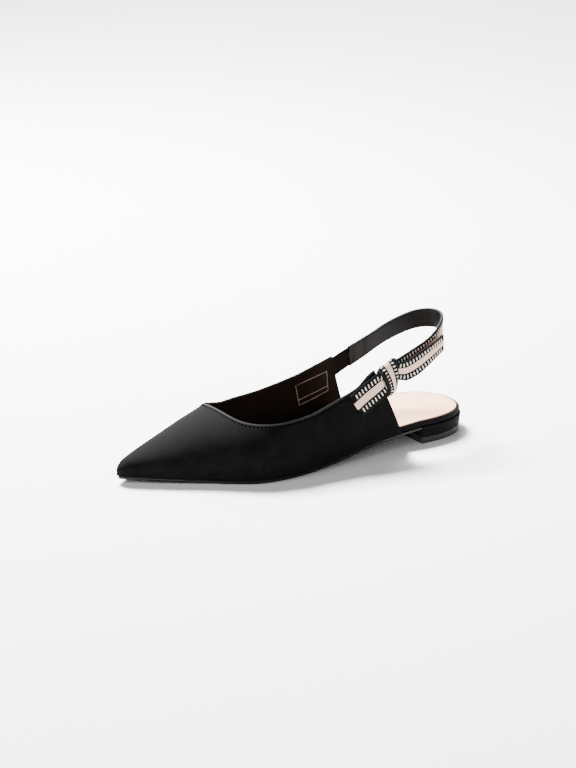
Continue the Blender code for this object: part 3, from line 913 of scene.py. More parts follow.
@dataclass
class Skin:
    """Points, faces and a map, gathered for one piece."""

    points: list[Vector] = field(default_factory=list)
    places: list[Plan] = field(default_factory=list)
    faces: list[tuple[int, ...]] = field(default_factory=list)
    slots: list[int] = field(default_factory=list)

    def rings(
        self,
        rings: Sequence[Sequence[Vector]],
        places: Sequence[Sequence[Plan]],
        slot_of: Callable[[int], int] = lambda k: 0,
        closed: bool = False,
        caps: bool = True,
        cap_slot: int = 0,
    ) -> None:
        """Joins closed rings of points, one after another.

        Args:
            rings: the rings, in metres.
            places: the map of each point.
            slot_of: the finish of each stretch of the ring, by its number.
            closed: whether the last ring joins the first.
            caps: whether the ends of an open run are closed by a face each.
            cap_slot: the finish of those faces.
        """
        start, count = len(self.points), len(rings[0])
        for ring, row in zip(rings, places):
            self.points += ring
            self.places += row
        for r in range(len(rings) if closed else len(rings) - 1):
            low, high = start + r * count, start + (r + 1) % len(rings) * count
            for k in range(count):
                after = (k + 1) % count
                self.faces.append((low + k, low + after, high + after, high + k))
                self.slots.append(slot_of(k))
        if caps and not closed:
            for base in (start, start + (len(rings) - 1) * count):
                self.faces.append(tuple(range(base, base + count)))
                self.slots.append(cap_slot)

    def stack(self, rings: Sequence[Sequence[Vector]], point_back: bool) -> None:
        """A solid between plan rings laid one over another, closed by strips at both ends.

        Args:
            rings: each runs forward on the lateral side, round the toe and back.
            point_back: whether the first point is the middle of the back, not a corner.
        """
        start, count = len(self.points), len(rings[0])
        places = [[(p.x / MM, p.y / MM) for p in ring] for ring in rings]
        self.rings(rings, places, caps=False)
        for base in (start, start + (len(rings) - 1) * count):
            left = list(range(1, count // 2)) if point_back else list(range(count // 2))
            right = [count - k if point_back else count - 1 - k for k in left]
            fans = [(base, base + left[0], base + right[0])] if point_back else []
            for k in range(len(left) - 1):
                corners = (left[k], left[k + 1], right[k + 1], right[k])
                fans.append(tuple(base + corner for corner in corners))
            fans.append((base + left[-1], base + count // 2, base + right[-1]))
            self.faces += fans
            self.slots += [0] * len(fans)

    def mesh(self, name: str, finishes: Sequence[Finish], angle: float = 50.0) -> bpy.types.Object:
        """Makes the object.

        Args:
            name: the piece's name.
            finishes: its finishes, by slot.
            angle: edges sharper than this are shown sharp, in degrees.

        Returns:
            The object, in the scene.
        """
        mesh = bpy.data.meshes.new(name)
        mesh.from_pydata([tuple(point) for point in self.points], [], self.faces)
        cloth = mesh.uv_layers.new(name=CLOTH_MAP)
        for loop in mesh.loops:
            cloth.data[loop.index].uv = self.places[loop.vertex_index]
        for face, slot in zip(mesh.polygons, self.slots):
            face.material_index = slot
        for finish in finishes:
            mesh.materials.append(finish.material())
        shape = bmesh.new()
        shape.from_mesh(mesh)
        bmesh.ops.remove_doubles(shape, verts=shape.verts, dist=0.000004)
        bmesh.ops.recalc_face_normals(shape, faces=shape.faces)
        shape.to_mesh(mesh)
        shape.free()
        mesh.shade_smooth()
        mesh.set_sharp_from_angle(angle=math.radians(angle))
        made = bpy.data.objects.new(name, mesh)
        bpy.context.scene.collection.objects.link(made)
        return made


def settle(piece: bpy.types.Object) -> None:
    """Turns a piece with modifiers into a plain mesh.

    Args:
        piece: the object, whose modifiers go.
    """
    graph = bpy.context.evaluated_depsgraph_get()
    plain = bpy.data.meshes.new_from_object(piece.evaluated_get(graph), depsgraph=graph)
    piece.modifiers.clear()
    plain.name = piece.name
    piece.data = plain


def declare(piece: bpy.types.Object, slot: Slot, *nodes: str) -> bpy.types.Object:
    """Names what a finished piece rides on, and hides the nodes that it stands for.

    Args:
        piece: the piece.
        slot: the record's slot; not used.
        nodes: the CAD nodes that it replaces.

    Returns:
        The piece.
    """
    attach(piece, BODY)
    if nodes:
        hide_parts(*nodes)
    LOG.info("%s: %d faces", piece.name, len(piece.data.polygons))
    return piece


class Mark(NamedTuple):
    """Where one stitch or bar lies: its middle, its run, what it faces and its width's share."""

    point: Vector
    along: Vector
    out: Vector
    wide: float = 1.0


class Laying:
    """A Geometry Nodes tree that lays one small rounded body on every mark."""

    def __init__(self) -> None:
        """Builds the tree."""
        self.tree = bpy.data.node_groups.new("laid_bodies", "GeometryNodeTree")
        self.declare_inputs()
        start = self.tree.nodes.new("NodeGroupInput")
        end = self.tree.nodes.new("NodeGroupOutput")
        size = self.node("ShaderNodeCombineXYZ", {}, {
            0: start.outputs["Length"], 1: start.outputs["Width"], 2: start.outputs["Height"],
        })
        body = self.node("GeometryNodeMeshCube", {}, {"Size": size})
        body = self.node("GeometryNodeSubdivisionSurface", {}, {
            0: body, "Level": 1, "Edge Crease": start.outputs["Squareness"],
        })
        body = self.node("GeometryNodeSetShadeSmooth", {}, {0: body})
        along = self.attribute("along", "FLOAT_VECTOR")
        out = self.attribute("out", "FLOAT_VECTOR")
        turned = self.node("FunctionNodeAxesToRotation", {
            "primary_axis": "Z", "secondary_axis": "X",
        }, {0: out, 1: along})
        loose = self.node("FunctionNodeRandomValue", {"data_type": "FLOAT"}, {
            2: start.outputs["Shortest"], 3: 1.0, "Seed": start.outputs["Seed"],
        }, 1)
        scale = self.node("ShaderNodeCombineXYZ", {}, {
            0: loose, 1: self.attribute("wide", "FLOAT"), 2: loose,
        })
        laid = self.node("GeometryNodeInstanceOnPoints", {}, {
            0: start.outputs["Geometry"], 2: body, 5: turned, 6: scale,
        })
        solid = self.node("GeometryNodeRealizeInstances", {}, {0: laid})
        painted = self.node("GeometryNodeSetMaterial", {}, {
            0: solid, "Material": start.outputs["Material"],
        })
        self.tree.links.new(painted, end.inputs[0])

    def declare_inputs(self) -> None:
        """Names the tree's inputs and its output."""
        kinds = {"Geometry": "Geometry", "Seed": "Int", "Material": "Material"}
        labels = ("Geometry", "Length", "Width", "Height", "Squareness", "Shortest", "Seed",
                  "Material")
        declare_socket = self.tree.interface.new_socket
        for label in labels:
            kind = "NodeSocket" + kinds.get(label, "Float")
            declare_socket(label, in_out="INPUT", socket_type=kind)
        declare_socket("Geometry", in_out="OUTPUT", socket_type="NodeSocketGeometry")

    def node(self, kind: str, settings: dict, inputs: dict, output: int = 0) -> bpy.types.NodeSocket:
        """Adds a node.

        Args:
            kind: its type.
            settings: its properties, set first.
            inputs: a link or a value for each input.
            output: which output to give back.

        Returns:
            That output.
        """
        made = self.tree.nodes.new(kind)
        for key, value in settings.items():
            setattr(made, key, value)
        for key, value in inputs.items():
            if isinstance(value, bpy.types.NodeSocket):
                self.tree.links.new(value, made.inputs[key])
            else:
                made.inputs[key].default_value = value
        return made.outputs[output]

    def attribute(self, name: str, kind: str) -> bpy.types.NodeSocket:
        """Reads an attribute of the marks."""
        return self.node("GeometryNodeInputNamedAttribute", {"data_type": kind}, {"Name": name})

    def lay(
        self,
        name: str,
        marks: Sequence[Mark],
        size: Triple,
        finish: Finish,
        squareness: float = 0.3,
        shortest: float = 0.93,
    ) -> bpy.types.Object:
        """Lays the bodies and gives one plain mesh.

        Args:
            name: the piece's name.
            marks: where they lie.
            size: length, width and height of one, in millimetres.
            finish: their finish.
            squareness: 0 for an oval body, 1 for a square one.
            shortest: the least share of its length that one may have.

        Returns:
            The piece.
        """
        mesh = bpy.data.meshes.new(name)
        mesh.from_pydata([tuple(mark.point) for mark in marks], [], [])
        for label in ("along", "out"):
            values = mesh.attributes.new(label, "FLOAT_VECTOR", "POINT")
            flat = [part for mark in marks for part in getattr(mark, label)]
            values.data.foreach_set("vector", flat)
        widths = mesh.attributes.new("wide", "FLOAT", "POINT")
        widths.data.foreach_set("value", [mark.wide for mark in marks])
        made = bpy.data.objects.new(name, mesh)
        bpy.context.scene.collection.objects.link(made)
        nodes = made.modifiers.new("laying", "NODES")
        nodes.node_group = self.tree
        values = {
            "Length": size[0] * MM,
            "Width": size[1] * MM,
            "Height": size[2] * MM,
            "Squareness": squareness,
            "Shortest": shortest,
            "Seed": 7,
            "Material": finish.material(),
        }
        for item in self.tree.interface.items_tree:
            if item.in_out == "INPUT" and item.name in values:
                nodes[item.identifier] = values[item.name]
        settle(made)
        return made


def facing(way: Vector, towards: Vector) -> Vector:
    """A direction, turned round where it points against another."""
    return -way if way.dot(towards) < 0.0 else way


class Place(NamedTuple):
    """A point of a face, in metres, and the way that the face looks."""

    point: Vector
    out: Vector


class Surface:
    """Something with an outer face, read at u along it and v across it, both 0 to 1."""

    step = 0.004
    side_step = 0.05
    bare = 0.05
    blunt = 0.12

    def at(self, u: float, v: float) -> Vector:
        """The point of the face at u and v."""
        raise NotImplementedError

    def inside(self) -> Vector:
        """A point that the face looks away from."""
        raise NotImplementedError

    def run(self, u: float, v: float) -> Vector:
        """The direction along the surface."""
        ahead, behind = min(u + self.step, 1.0), max(u - self.step, 0.0)
        return (self.at(ahead, v) - self.at(behind, v)).normalized()

    def place(self, u: float, v: float) -> Place:
        """The point at u and v and the way that the face looks there.

        Args:
            u: the place along it.
            v: the place across it.

        Returns:
            The place.
        """
        point = self.at(u, v)
        right, left = min(v + self.side_step, 1.0), max(v - self.side_step, 0.0)
        out = (self.at(u, right) - self.at(u, left)).cross(self.run(u, v)).normalized()
        return Place(point, facing(out, point - self.inside()))

    def walk(self, v: float, count: int = 300) -> tuple[list[float], list[float]]:
        """The surface's length along v.

        Args:
            v: the line across it.
            count: how many steps are measured.

        Returns:
            The values of u, and the distance to each in millimetres.
        """
        us = [k / count for k in range(count + 1)]
        far = [0.0]
        for before, after in zip(us, us[1:]):
            far.append(far[-1] + (self.at(after, v) - self.at(before, v)).length / MM)
        return us, far

    def drift(self, u: float) -> float:
        """How far a line across the surface wanders at u."""
        return 0.0

    def marks(
        self, v: float, pitch: float, lift: float, ends: Plan = (0.0, 0.0), wide: float = 1.0
    ) -> list[Mark]:
        """Evenly spaced marks along a line of the surface.

        Args:
            v: the line.
            pitch: their distance, in millimetres.
            lift: how far each stands off the face, in millimetres.
            ends: how much of the line stays bare at its start and its end.
            wide: the share of its full width that each has.

        Returns:
            The marks.
        """
        us, far = self.walk(v)
        read = Run(far, us)
        count = max(int((far[-1] - ends[0] - ends[1]) / pitch), 1)
        marks = []
        for k in range(count):
            u = read(ends[0] + (k + 0.5) * pitch)
            line = v + self.drift(u)
            if not self.bare < line < 1.0 - self.bare:
                continue
            point, out = self.place(u, line)
            marks.append(Mark(point + out * lift * MM, self.run(u, line), out, wide))
        return marks

    def strip(
        self,
        skin: Skin,
        thickness: float,
        width: float,
        stations: int,
        relief: Callable[[float], float] = lambda v: 0.0,
        ripple: Callable[[float, float], float] = lambda far, v: 0.0,
        steps: int = 18,
        depth: float = 0.0,
        slots: tuple[int, int, int] = (0, 0, 0),
        share_map: bool = False,
        cap_slot: int = 0,
    ) -> None:
        """Gives the face a thickness, with rounded long edges.

        Args:
            skin: where the faces go.
            thickness: millimetres.
            width: the width across, in millimetres, for the map and the edges.
            stations: how many rings it has.
            relief: height of the outer face at v, in millimetres.
            ripple: height of both faces at a distance along and at v.
            steps: how many steps each face has across.
            depth: how far the outer face lies under the surface.
            slots: the finishes of the outer face, the inner face and the edges.
            share_map: whether the map's second coordinate is a share, not millimetres.
            cap_slot: the finish of the two ends.
        """
        us, far = self.walk(0.5)
        read = Run(far, us)
        waves = [0.5 - 0.5 * math.cos(math.pi * k / steps) for k in range(steps + 1)]
        rings, places = [], []
        for k in range(stations + 1):
            distance = far[-1] * k / stations
            u = read(distance)
            outer, inner, outer_map, inner_map = [], [], [], []
            for v in waves:
                point, out = self.place(u, v)
                near = min(v, 1.0 - v) * width / (0.5 * thickness)
                half = 0.5 * thickness * max(math.sqrt(1.0 - (1.0 - min(near, 1.0)) ** 2), self.blunt)
                middle = ripple(distance, v) - depth - 0.5 * thickness
                outer.append(point + out * (middle + half + relief(v)) * MM)
                inner.append(point + out * (middle - half) * MM)
                mapped = (distance, v if share_map else v * width)
                outer_map.append(mapped)
                inner_map.append(mapped)
            rings.append(outer + inner[::-1])
            places.append(outer_map + inner_map[::-1])
        edge = max(steps // 6, 1)

        def slot_of(k: int) -> int:
            """The finish of one stretch of the ring.

            Args:
                k: its number.

            Returns:
                The slot.
            """
            side = k % (steps + 1)
            if side < edge - 1 or side > steps - edge:
                return slots[2]
            return slots[0] if k <= steps else slots[1]

        skin.rings(rings, places, slot_of, cap_slot=cap_slot)


class Band(NamedTuple):
    """A row of a strap or tail: its outer face at the top edge and at the bottom edge."""

    top_s: float
    top_y: float
    top_z: float
    bottom_s: float
    bottom_y: float
    bottom_z: float


class Rails(Surface):
    """A flat band between two smooth rails."""

    collar = (62.0, 0.0, 50.0)

    def __init__(self, last: Last, rows: Sequence[Band], cup: float = 0.0) -> None:
        """Sets the rails through the rows.

        Args:
            last: the last, for its place.
            rows: the rows, from one end to the other.
            cup: how far the edges stand out past the middle, in millimetres.
        """
        self.tops = [last.point(row.top_s, row.top_y, row.top_z) for row in rows]
        self.bottoms = [last.point(row.bottom_s, row.bottom_y, row.bottom_z) for row in rows]
        self.cup = cup * MM
        self.centre = last.point(*self.collar)
        middles = [(a + b) * 0.5 for a, b in zip(self.tops, self.bottoms)]
        self.knots = [0.0]
        for before, after in zip(middles, middles[1:]):
            self.knots.append(self.knots[-1] + (after - before).length)
        self.knots = [knot / self.knots[-1] for knot in self.knots]

    def inside(self) -> Vector:
        """A point inside the collar."""
        return self.centre

    def curve(self, points: Sequence[Vector], u: float) -> Vector:
        """A smooth curve through the points.

        Args:
            points: the rail's points.
            u: 0 to 1.

        Returns:
            The point at u.
        """
        k = min(max(bisect_right(self.knots, u) - 1, 0), len(self.knots) - 2)
        width = self.knots[k + 1] - self.knots[k]
        t = (u - self.knots[k]) / width
        start, end = self.tangent(points, k) * width, self.tangent(points, k + 1) * width
        rise = points[k] * (1 + 2 * t) * (1 - t) ** 2 + points[k + 1] * t * t * (3 - 2 * t)
        return rise + start * t * (1 - t) ** 2 - end * t * t * (1 - t)

    def tangent(self, points: Sequence[Vector], k: int) -> Vector:
        """The tangent at a row, from the parabola through its neighbours.

        Args:
            points: the rail's points.
            k: the row.

        Returns:
            The tangent.
        """
        last = len(points) - 1
        if k == 0 or k == last:
            a, b = (0, 1) if k == 0 else (last - 1, last)
            return (points[b] - points[a]) / (self.knots[b] - self.knots[a])
        before = self.knots[k] - self.knots[k - 1]
        after = self.knots[k + 1] - self.knots[k]
        left = (points[k] - points[k - 1]) / before
        right = (points[k + 1] - points[k]) / after
        return (left * after + right * before) / (before + after)

    def at(self, u: float, v: float) -> Vector:
        """The point of the outer face.

        Args:
            u: the place along it.
            v: the place across it.

        Returns:
            The point.
        """
        top, bottom = self.curve(self.tops, u), self.curve(self.bottoms, u)
        point = top.lerp(bottom, v)
        if self.cup == 0.0:
            return point
        away = Vector((point.x - self.centre.x, point.y - self.centre.y, 0.0)).normalized()
        return point + Vector((0.0, away.y, 0.0)) * self.cup * (2.0 * v - 1.0) ** 2


class Wrap(NamedTuple):
    """The knot's wrap across its width: its reach to each side, half height and hole."""

    across: float
    lateral: float
    foot: float
    half_height: float
    hole: float


@dataclass
class KnotRing(Surface):
    """The outer face of the knot. u runs round the ring and v across it, from the heel side."""

    last: Last
    rows: tuple[Wrap, ...] = (
        Wrap(-1.0, 3.8, 3.2, 10.2, 2.4),
        Wrap(-0.8, 4.6, 3.7, 11.3, 2.3),
        Wrap(-0.4, 5.2, 4.1, 11.8, 2.3),
        Wrap(0.0, 5.4, 4.2, 11.8, 2.4),
        Wrap(0.4, 5.5, 4.1, 11.7, 2.6),
        Wrap(0.8, 5.5, 3.7, 11.0, 3.2),
        Wrap(1.0, 5.3, 3.2, 10.0, 4.0),
    )
    middle: Triple = (77.2, -25.4, 51.2)
    top_width: float = 16.4
    foot_width: float = 9.0
    lean: float = 4.6
    slope: float = 0.37
    splay: float = 0.13
    hole_depth: float = 2.1
    hole_height: float = 7.4
    hole_rise: float = 1.9
    pleat: float = 0.34
    squeeze: float = 1.22
    foot_gather: float = 1.2
    pleat_pitch: float = 0.62
    foot_pleat: float = 0.4
    rim_pleat: float = 0.5
    drift_top: float = 0.07
    drift_foot: float = 0.27

    def __post_init__(self) -> None:
        """Makes a run through each column."""
        across = [row.across for row in self.rows]
        self.runs = {
            name: Run(across, [getattr(row, name) for row in self.rows])
            for name in Wrap._fields[1:]
        }

    def inside(self) -> Vector:
        """The middle of the knot."""
        return self.last.point(*self.middle)

    def ring(self, across: float, angle: float, depths: Plan, height: float, rise: float) -> Vector:
        """A point of a ring of the knot.

        Args:
            across: -1 at the heel side, 1 at the toe side.
            angle: 0 at the foot side, a quarter turn at the top.
            depths: its reach to the lateral side and to the foot.
            height: half its height.
            rise: how far it is moved up.

        Returns:
            The point, in metres.
        """
        z = height * math.sin(angle)
        share = 0.5 + 0.5 * math.sin(angle)
        width = self.foot_width + (self.top_width - self.foot_width) * share
        forward = across * width * 0.5
        s = self.middle[0] + self.lean * (share - 0.5) + forward
        z += self.middle[2] + rise - self.slope * forward
        depth = depths[1] if math.cos(angle) > 0.0 else depths[0]
        y = self.middle[1] - self.splay * forward + depth * math.cos(angle)
        return self.last.point(s, y, z)

    def at(self, u: float, v: float) -> Vector:
        """The point of the outer face, with the soft pleats of the gathered ribbon.

        Args:
            u: the place along it.
            v: the place across it.

        Returns:
            The point.
        """
        across, angle = 2.0 * v - 1.0, math.tau * u
        gather = 1.0 + self.foot_gather * max(-math.sin(angle), 0.0)
        fold = self.pleat * gather * math.cos(math.tau * across / self.pleat_pitch) * (1.0 - across ** 6)
        depths = (self.runs["lateral"](across) + fold, self.runs["foot"](across) + self.foot_pleat * fold)
        height = self.runs["half_height"](across) + self.rim_pleat * fold
        return self.ring(across, angle, depths, height, 0.0)

    def hole_point(self, u: float, v: float) -> Vector:
        """The point of the hole's wall, which is squarer.

        Args:
            u: the place along it.
            v: the place across it.

        Returns:
            The point.
        """
        across, angle = 2.0 * v - 1.0, math.tau * u
        square = max(abs(math.cos(angle)), abs(math.sin(angle)))
        hole = self.runs["hole"](across) / square
        depths = (hole, self.hole_depth / square)
        return self.ring(across, angle, depths, self.hole_height / square, self.hole_rise)

    def drift(self, u: float) -> float:
        """The stripes run aslant: forward at the top of the knot, back at its foot."""
        share = 0.5 + 0.5 * math.sin(math.tau * u)
        return self.drift_top - self.drift_foot * (1.0 - share)

    def run(self, u: float, v: float) -> Vector:
        """The direction round the ring."""
        return (self.at(u + self.step, v) - self.at(u - self.step, v)).normalized()


@dataclass
class RimLine(Surface):
    """The upper's face just under its top edge, from one rear corner to the other. u runs
    from the lateral corner round the throat to the medial one, and v from the rim down."""

    last: Last
    deepest: float = 6.0
    curve: float = 0.012
    above: Triple = (140.0, 3.0, 60.0)
    within: Triple = (150.0, 3.0, 12.0)

    def inside(self) -> Vector:
        """A point inside the shoe."""
        return self.last.point(*self.within)

    def rim(self, u: float) -> tuple[float, Side, float]:
        """The station, the side and the turn of the top edge at u.

        Args:
            u: the place along the edge.

        Returns:
            All three.
        """
        side = Side.LATERAL if u < 0.5 else Side.MEDIAL
        s = self.last.quarter_ends(abs(1.0 - 2.0 * u), side)[1]
        return s, side, self.last.top_turn(s, side)

    def edge(self, u: float) -> Vector:
        """The point of the top edge at u."""
        return self.last.skin(*self.rim(min(max(u, 0.0), 1.0)))

    def outwards(self, u: float) -> Vector:
        """The way that the upper's face looks at the top edge.

        Args:
            u: the place along the edge.

        Returns:
            The direction.
        """
        s, side, turn = self.rim(u)
        here = self.last.skin(s, side, turn - 1.0)
        ahead = self.last.skin(s + 0.5, side, turn - 1.0) - here
        down = self.last.skin(s, side, turn - 2.0) - here
        return facing(ahead.cross(down).normalized(), here - self.inside())

    def at(self, u: float, v: float) -> Vector:
        """A point below the rim, square to it.

        Args:
            u: the place along the rim.
            v: the share of the deepest distance.

        Returns:
            The point.
        """
        along = (self.edge(u + self.step) - self.edge(u - self.step)).normalized()
        out, point = self.outwards(u), self.edge(u)
        away = facing(along.cross(out).normalized(), point - self.last.point(*self.above))
        drop = v * self.deepest
        return point + (away * drop - out * drop * drop * self.curve) * MM


@dataclass
class LiningPatch(Surface):
    """A four-cornered field on the inner face of the medial wall, as (s, z) corners."""

    last: Last
    wall: float
    proud: float = 0.1
    behind: Triple = (105.0, 80.0, 30.0)
    corners: tuple[Plan, Plan, Plan, Plan] = (
        (115.0, 37.2),
        (90.9, 44.3),
        (88.1, 28.9),
        (110.6, 21.0),
    )

    def inside(self) -> Vector:
        """A point behind the field, outside the shoe."""
        return self.last.point(*self.behind)

    def at(self, u: float, v: float) -> Vector:
        """The point of the field, on the lining.

        Args:
            u: the place along it.
            v: the place across it.

        Returns:
            The point.
        """
        rear, front, low_front, low_rear = self.corners
        high = [a + (b - a) * u for a, b in zip(rear, front)]
        low = [a + (b - a) * u for a, b in zip(low_rear, low_front)]
        s, z = [a + (b - a) * v for a, b in zip(high, low)]
        return self.last.inner(s, Side.MEDIAL, z, self.wall + self.proud)[0]


# The sub-assemblies.


@dataclass
class Upper:
    """The one-piece upper: textile, lining, folded top edge, cut rear edges and stitches."""

    last: Last
    laying: Laying
    wall: float = 1.4
    margin: float = 7.0
    margin_share: float = 0.45
    quarter_columns: int = 60
    toe_columns: int = 44
    rows_above: int = 26
    feather_turns: tuple[float, ...] = (-90.0, -72.0, -54.0, -36.0, -18.0, 0.0)
    fold: float = 0.5
    fold_steps: int = 3
    fold_angle: float = 55.0
    stitch_drop: float = 2.2
    stitch_pitch: float = 2.6
    stitch: Triple = (1.55, 1.0, 0.5)
    stitch_lift: float = 0.06
    rear_drop: float = 2.0
    rear_from: float = 8.0
    rear_pitch: float = 1.9
    rear_count: int = 20
    rear_bare: float = 2.5
    rear_stitch: Triple = (1.2, 0.45, 0.3)
    thread_lift: float = 0.05
    rim_samples: int = 1600
    stamp_film: float = 0.16
    stamp_rings: int = 12
    stamp_steps: int = 8

    def __post_init__(self) -> None:
        """Samples the top edge, for the distance of any point from it."""
        rim = RimLine(self.last)
        self.rim_tree = KDTree(self.rim_samples + 1)
        for k in range(self.rim_samples + 1):
            self.rim_tree.insert(rim.edge(k / self.rim_samples), k)
        self.rim_tree.balance()

    def turns(self, top: float) -> list[float]:
        """The turns of a column's points, up to its top."""
        above = [top * (k + 1) / self.rows_above for k in range(self.rows_above)]
        return list(self.feather_turns) + above

    def margin_point(self, s: float, side: Side) -> Vector:
        """The inner end of the lasting margin, turned in under the board.

        Args:
            s: the station.
            side: the side.

        Returns:
            The point.
        """
        row = self.last.section(s)
        edge = row.edge(side)
        reach = min(self.margin, self.margin_share * abs(edge - row.ridge_y))
        return self.last.point(s, edge - side.value * reach, self.last.feather(s))

    def column(self, side: Side, share: float, s: float) -> tuple[list[Vector], list[Plan]]:
        """One column of the sheet, with its map: station, and distance below the rim.

        Args:
            side: the side.
            share: its place on the quarter, or 0 in front of the throat.
            s: its station in front of the throat.

        Returns:
            The points and the map.
        """
        if share > 0.0:
            head = self.last.quarter_ends(share, side)[1]
            turns = self.turns(self.last.top_turn(head, side))
            points = [self.last.quarter_point(share, side, turn) for turn in turns]
        else:
            turns = self.turns(90.0)
            points = [self.last.skin(s, side, turn) for turn in turns]
        foot = self.last.heel_centre - points[0].x / MM
        points.insert(0, self.margin_point(foot, side))
        places = []
        for point in points:
            depth = self.rim_tree.find(point)[2] / MM
            places.append((self.last.heel_centre - point.x / MM, depth))
        return points, places

    def sheet(self) -> Skin:
        """The upper as one sheet, without its wall."""
        skin = Skin()
        toe = self.last.toe_stations(self.last.throat, self.toe_columns) + [self.last.toe_tip]
        for side in Side:
            count = self.quarter_columns
            columns = [self.column(side, k / count, 0.0) for k in range(count, 0, -1)]
            columns += [self.column(side, 0.0, s) for s in toe]
            start, rows = len(skin.points), len(columns[0][0])
            for points, places in columns:
                skin.points += points
                skin.places += places
            for c in range(len(columns) - 1):
                for r in range(rows - 1):
                    a = start + c * rows + r
                    skin.faces.append((a, a + rows, a + rows + 1, a + 1))
                    skin.slots.append(0)
        return skin

    def shell(self) -> bpy.types.Object:
        """The upper with its wall, lining and rounded edges."""
        piece = self.sheet().mesh("upper_shell", (TEXTILE, LINING, RAW_EDGE), 60.0)
        front = min(piece.data.polygons, key=lambda face: face.center.x)
        if front.normal.x > 0.0:
            piece.data.flip_normals()
        wall = piece.modifiers.new("wall", "SOLIDIFY")
        wall.thickness = self.wall * MM
        wall.offset = -1.0
        wall.use_even_offset = True
        wall.material_offset = 1
        wall.material_offset_rim = 2
        edge = piece.modifiers.new("edge", "BEVEL")
        edge.width = self.fold * MM
        edge.segments = self.fold_steps
        edge.limit_method = "ANGLE"
        edge.angle_limit = math.radians(self.fold_angle)
        settle(piece)
        piece.data.shade_smooth()
        return declare(piece, Slot.TEXTILE, "upper")

    def rim_stitches(self) -> bpy.types.Object:
        """The row of stitches that holds the folded top edge."""
        rim = RimLine(self.last)
        line = self.stitch_drop / rim.deepest
        marks = rim.marks(line, self.stitch_pitch, self.stitch_lift, (1.5, 1.5))
        piece = self.laying.lay("top_edge_stitches", marks, self.stitch, DARK_THREAD)
        return declare(piece, Slot.TEXTILE)

    def rear_stitches(self, side: Side) -> bpy.types.Object:
        """The stitches down the rear edge of a quarter, on its inner face.

        Args:
            side: the side.

        Returns:
            The piece.
        """
        quarter = self.last.quarter(side)
        low, depth = self.last.feather(quarter.foot), self.wall + self.thread_lift
        height = quarter.corner_z - low
        lean = (quarter.corner - quarter.foot) / height
        marks = []
        for z in [low + self.rear_from + self.rear_pitch * k for k in range(self.rear_count)]:
            if z > quarter.corner_z - self.rear_bare:
                break
            share = (z - low) / height
            s = quarter.foot + (quarter.corner - quarter.foot) * share + self.rear_drop
            point, out = self.last.inner(s, side, z, depth)
            above = self.last.inner(s + lean, side, z + 1.0, depth)[0]
            marks.append(Mark(point, (above - point).normalized(), out))
        name = "rear_stitches_" + side.name.lower()
        piece = self.laying.lay(name, marks, self.rear_stitch, DARK_THREAD)
        return declare(piece, Slot.TEXTILE)

    def stamp(self) -> bpy.types.Object:
        """The blank field on the medial lining."""
        skin = Skin()
        patch = LiningPatch(self.last, self.wall)
        patch.strip(skin, self.stamp_film, 1.0, self.stamp_rings, steps=self.stamp_steps,
                    share_map=True)
        far = patch.walk(0.5)[1][-1]
        skin.places = [(u / far, v) for u, v in skin.places]
        return declare(skin.mesh("lining_field", (STAMP,)), Slot.TEXTILE)

    def build(self) -> None:
        """Builds the upper and what is sewn and printed on it."""
        self.shell()
        self.rim_stitches()
        for side in Side:
            self.rear_stitches(side)
        self.stamp()


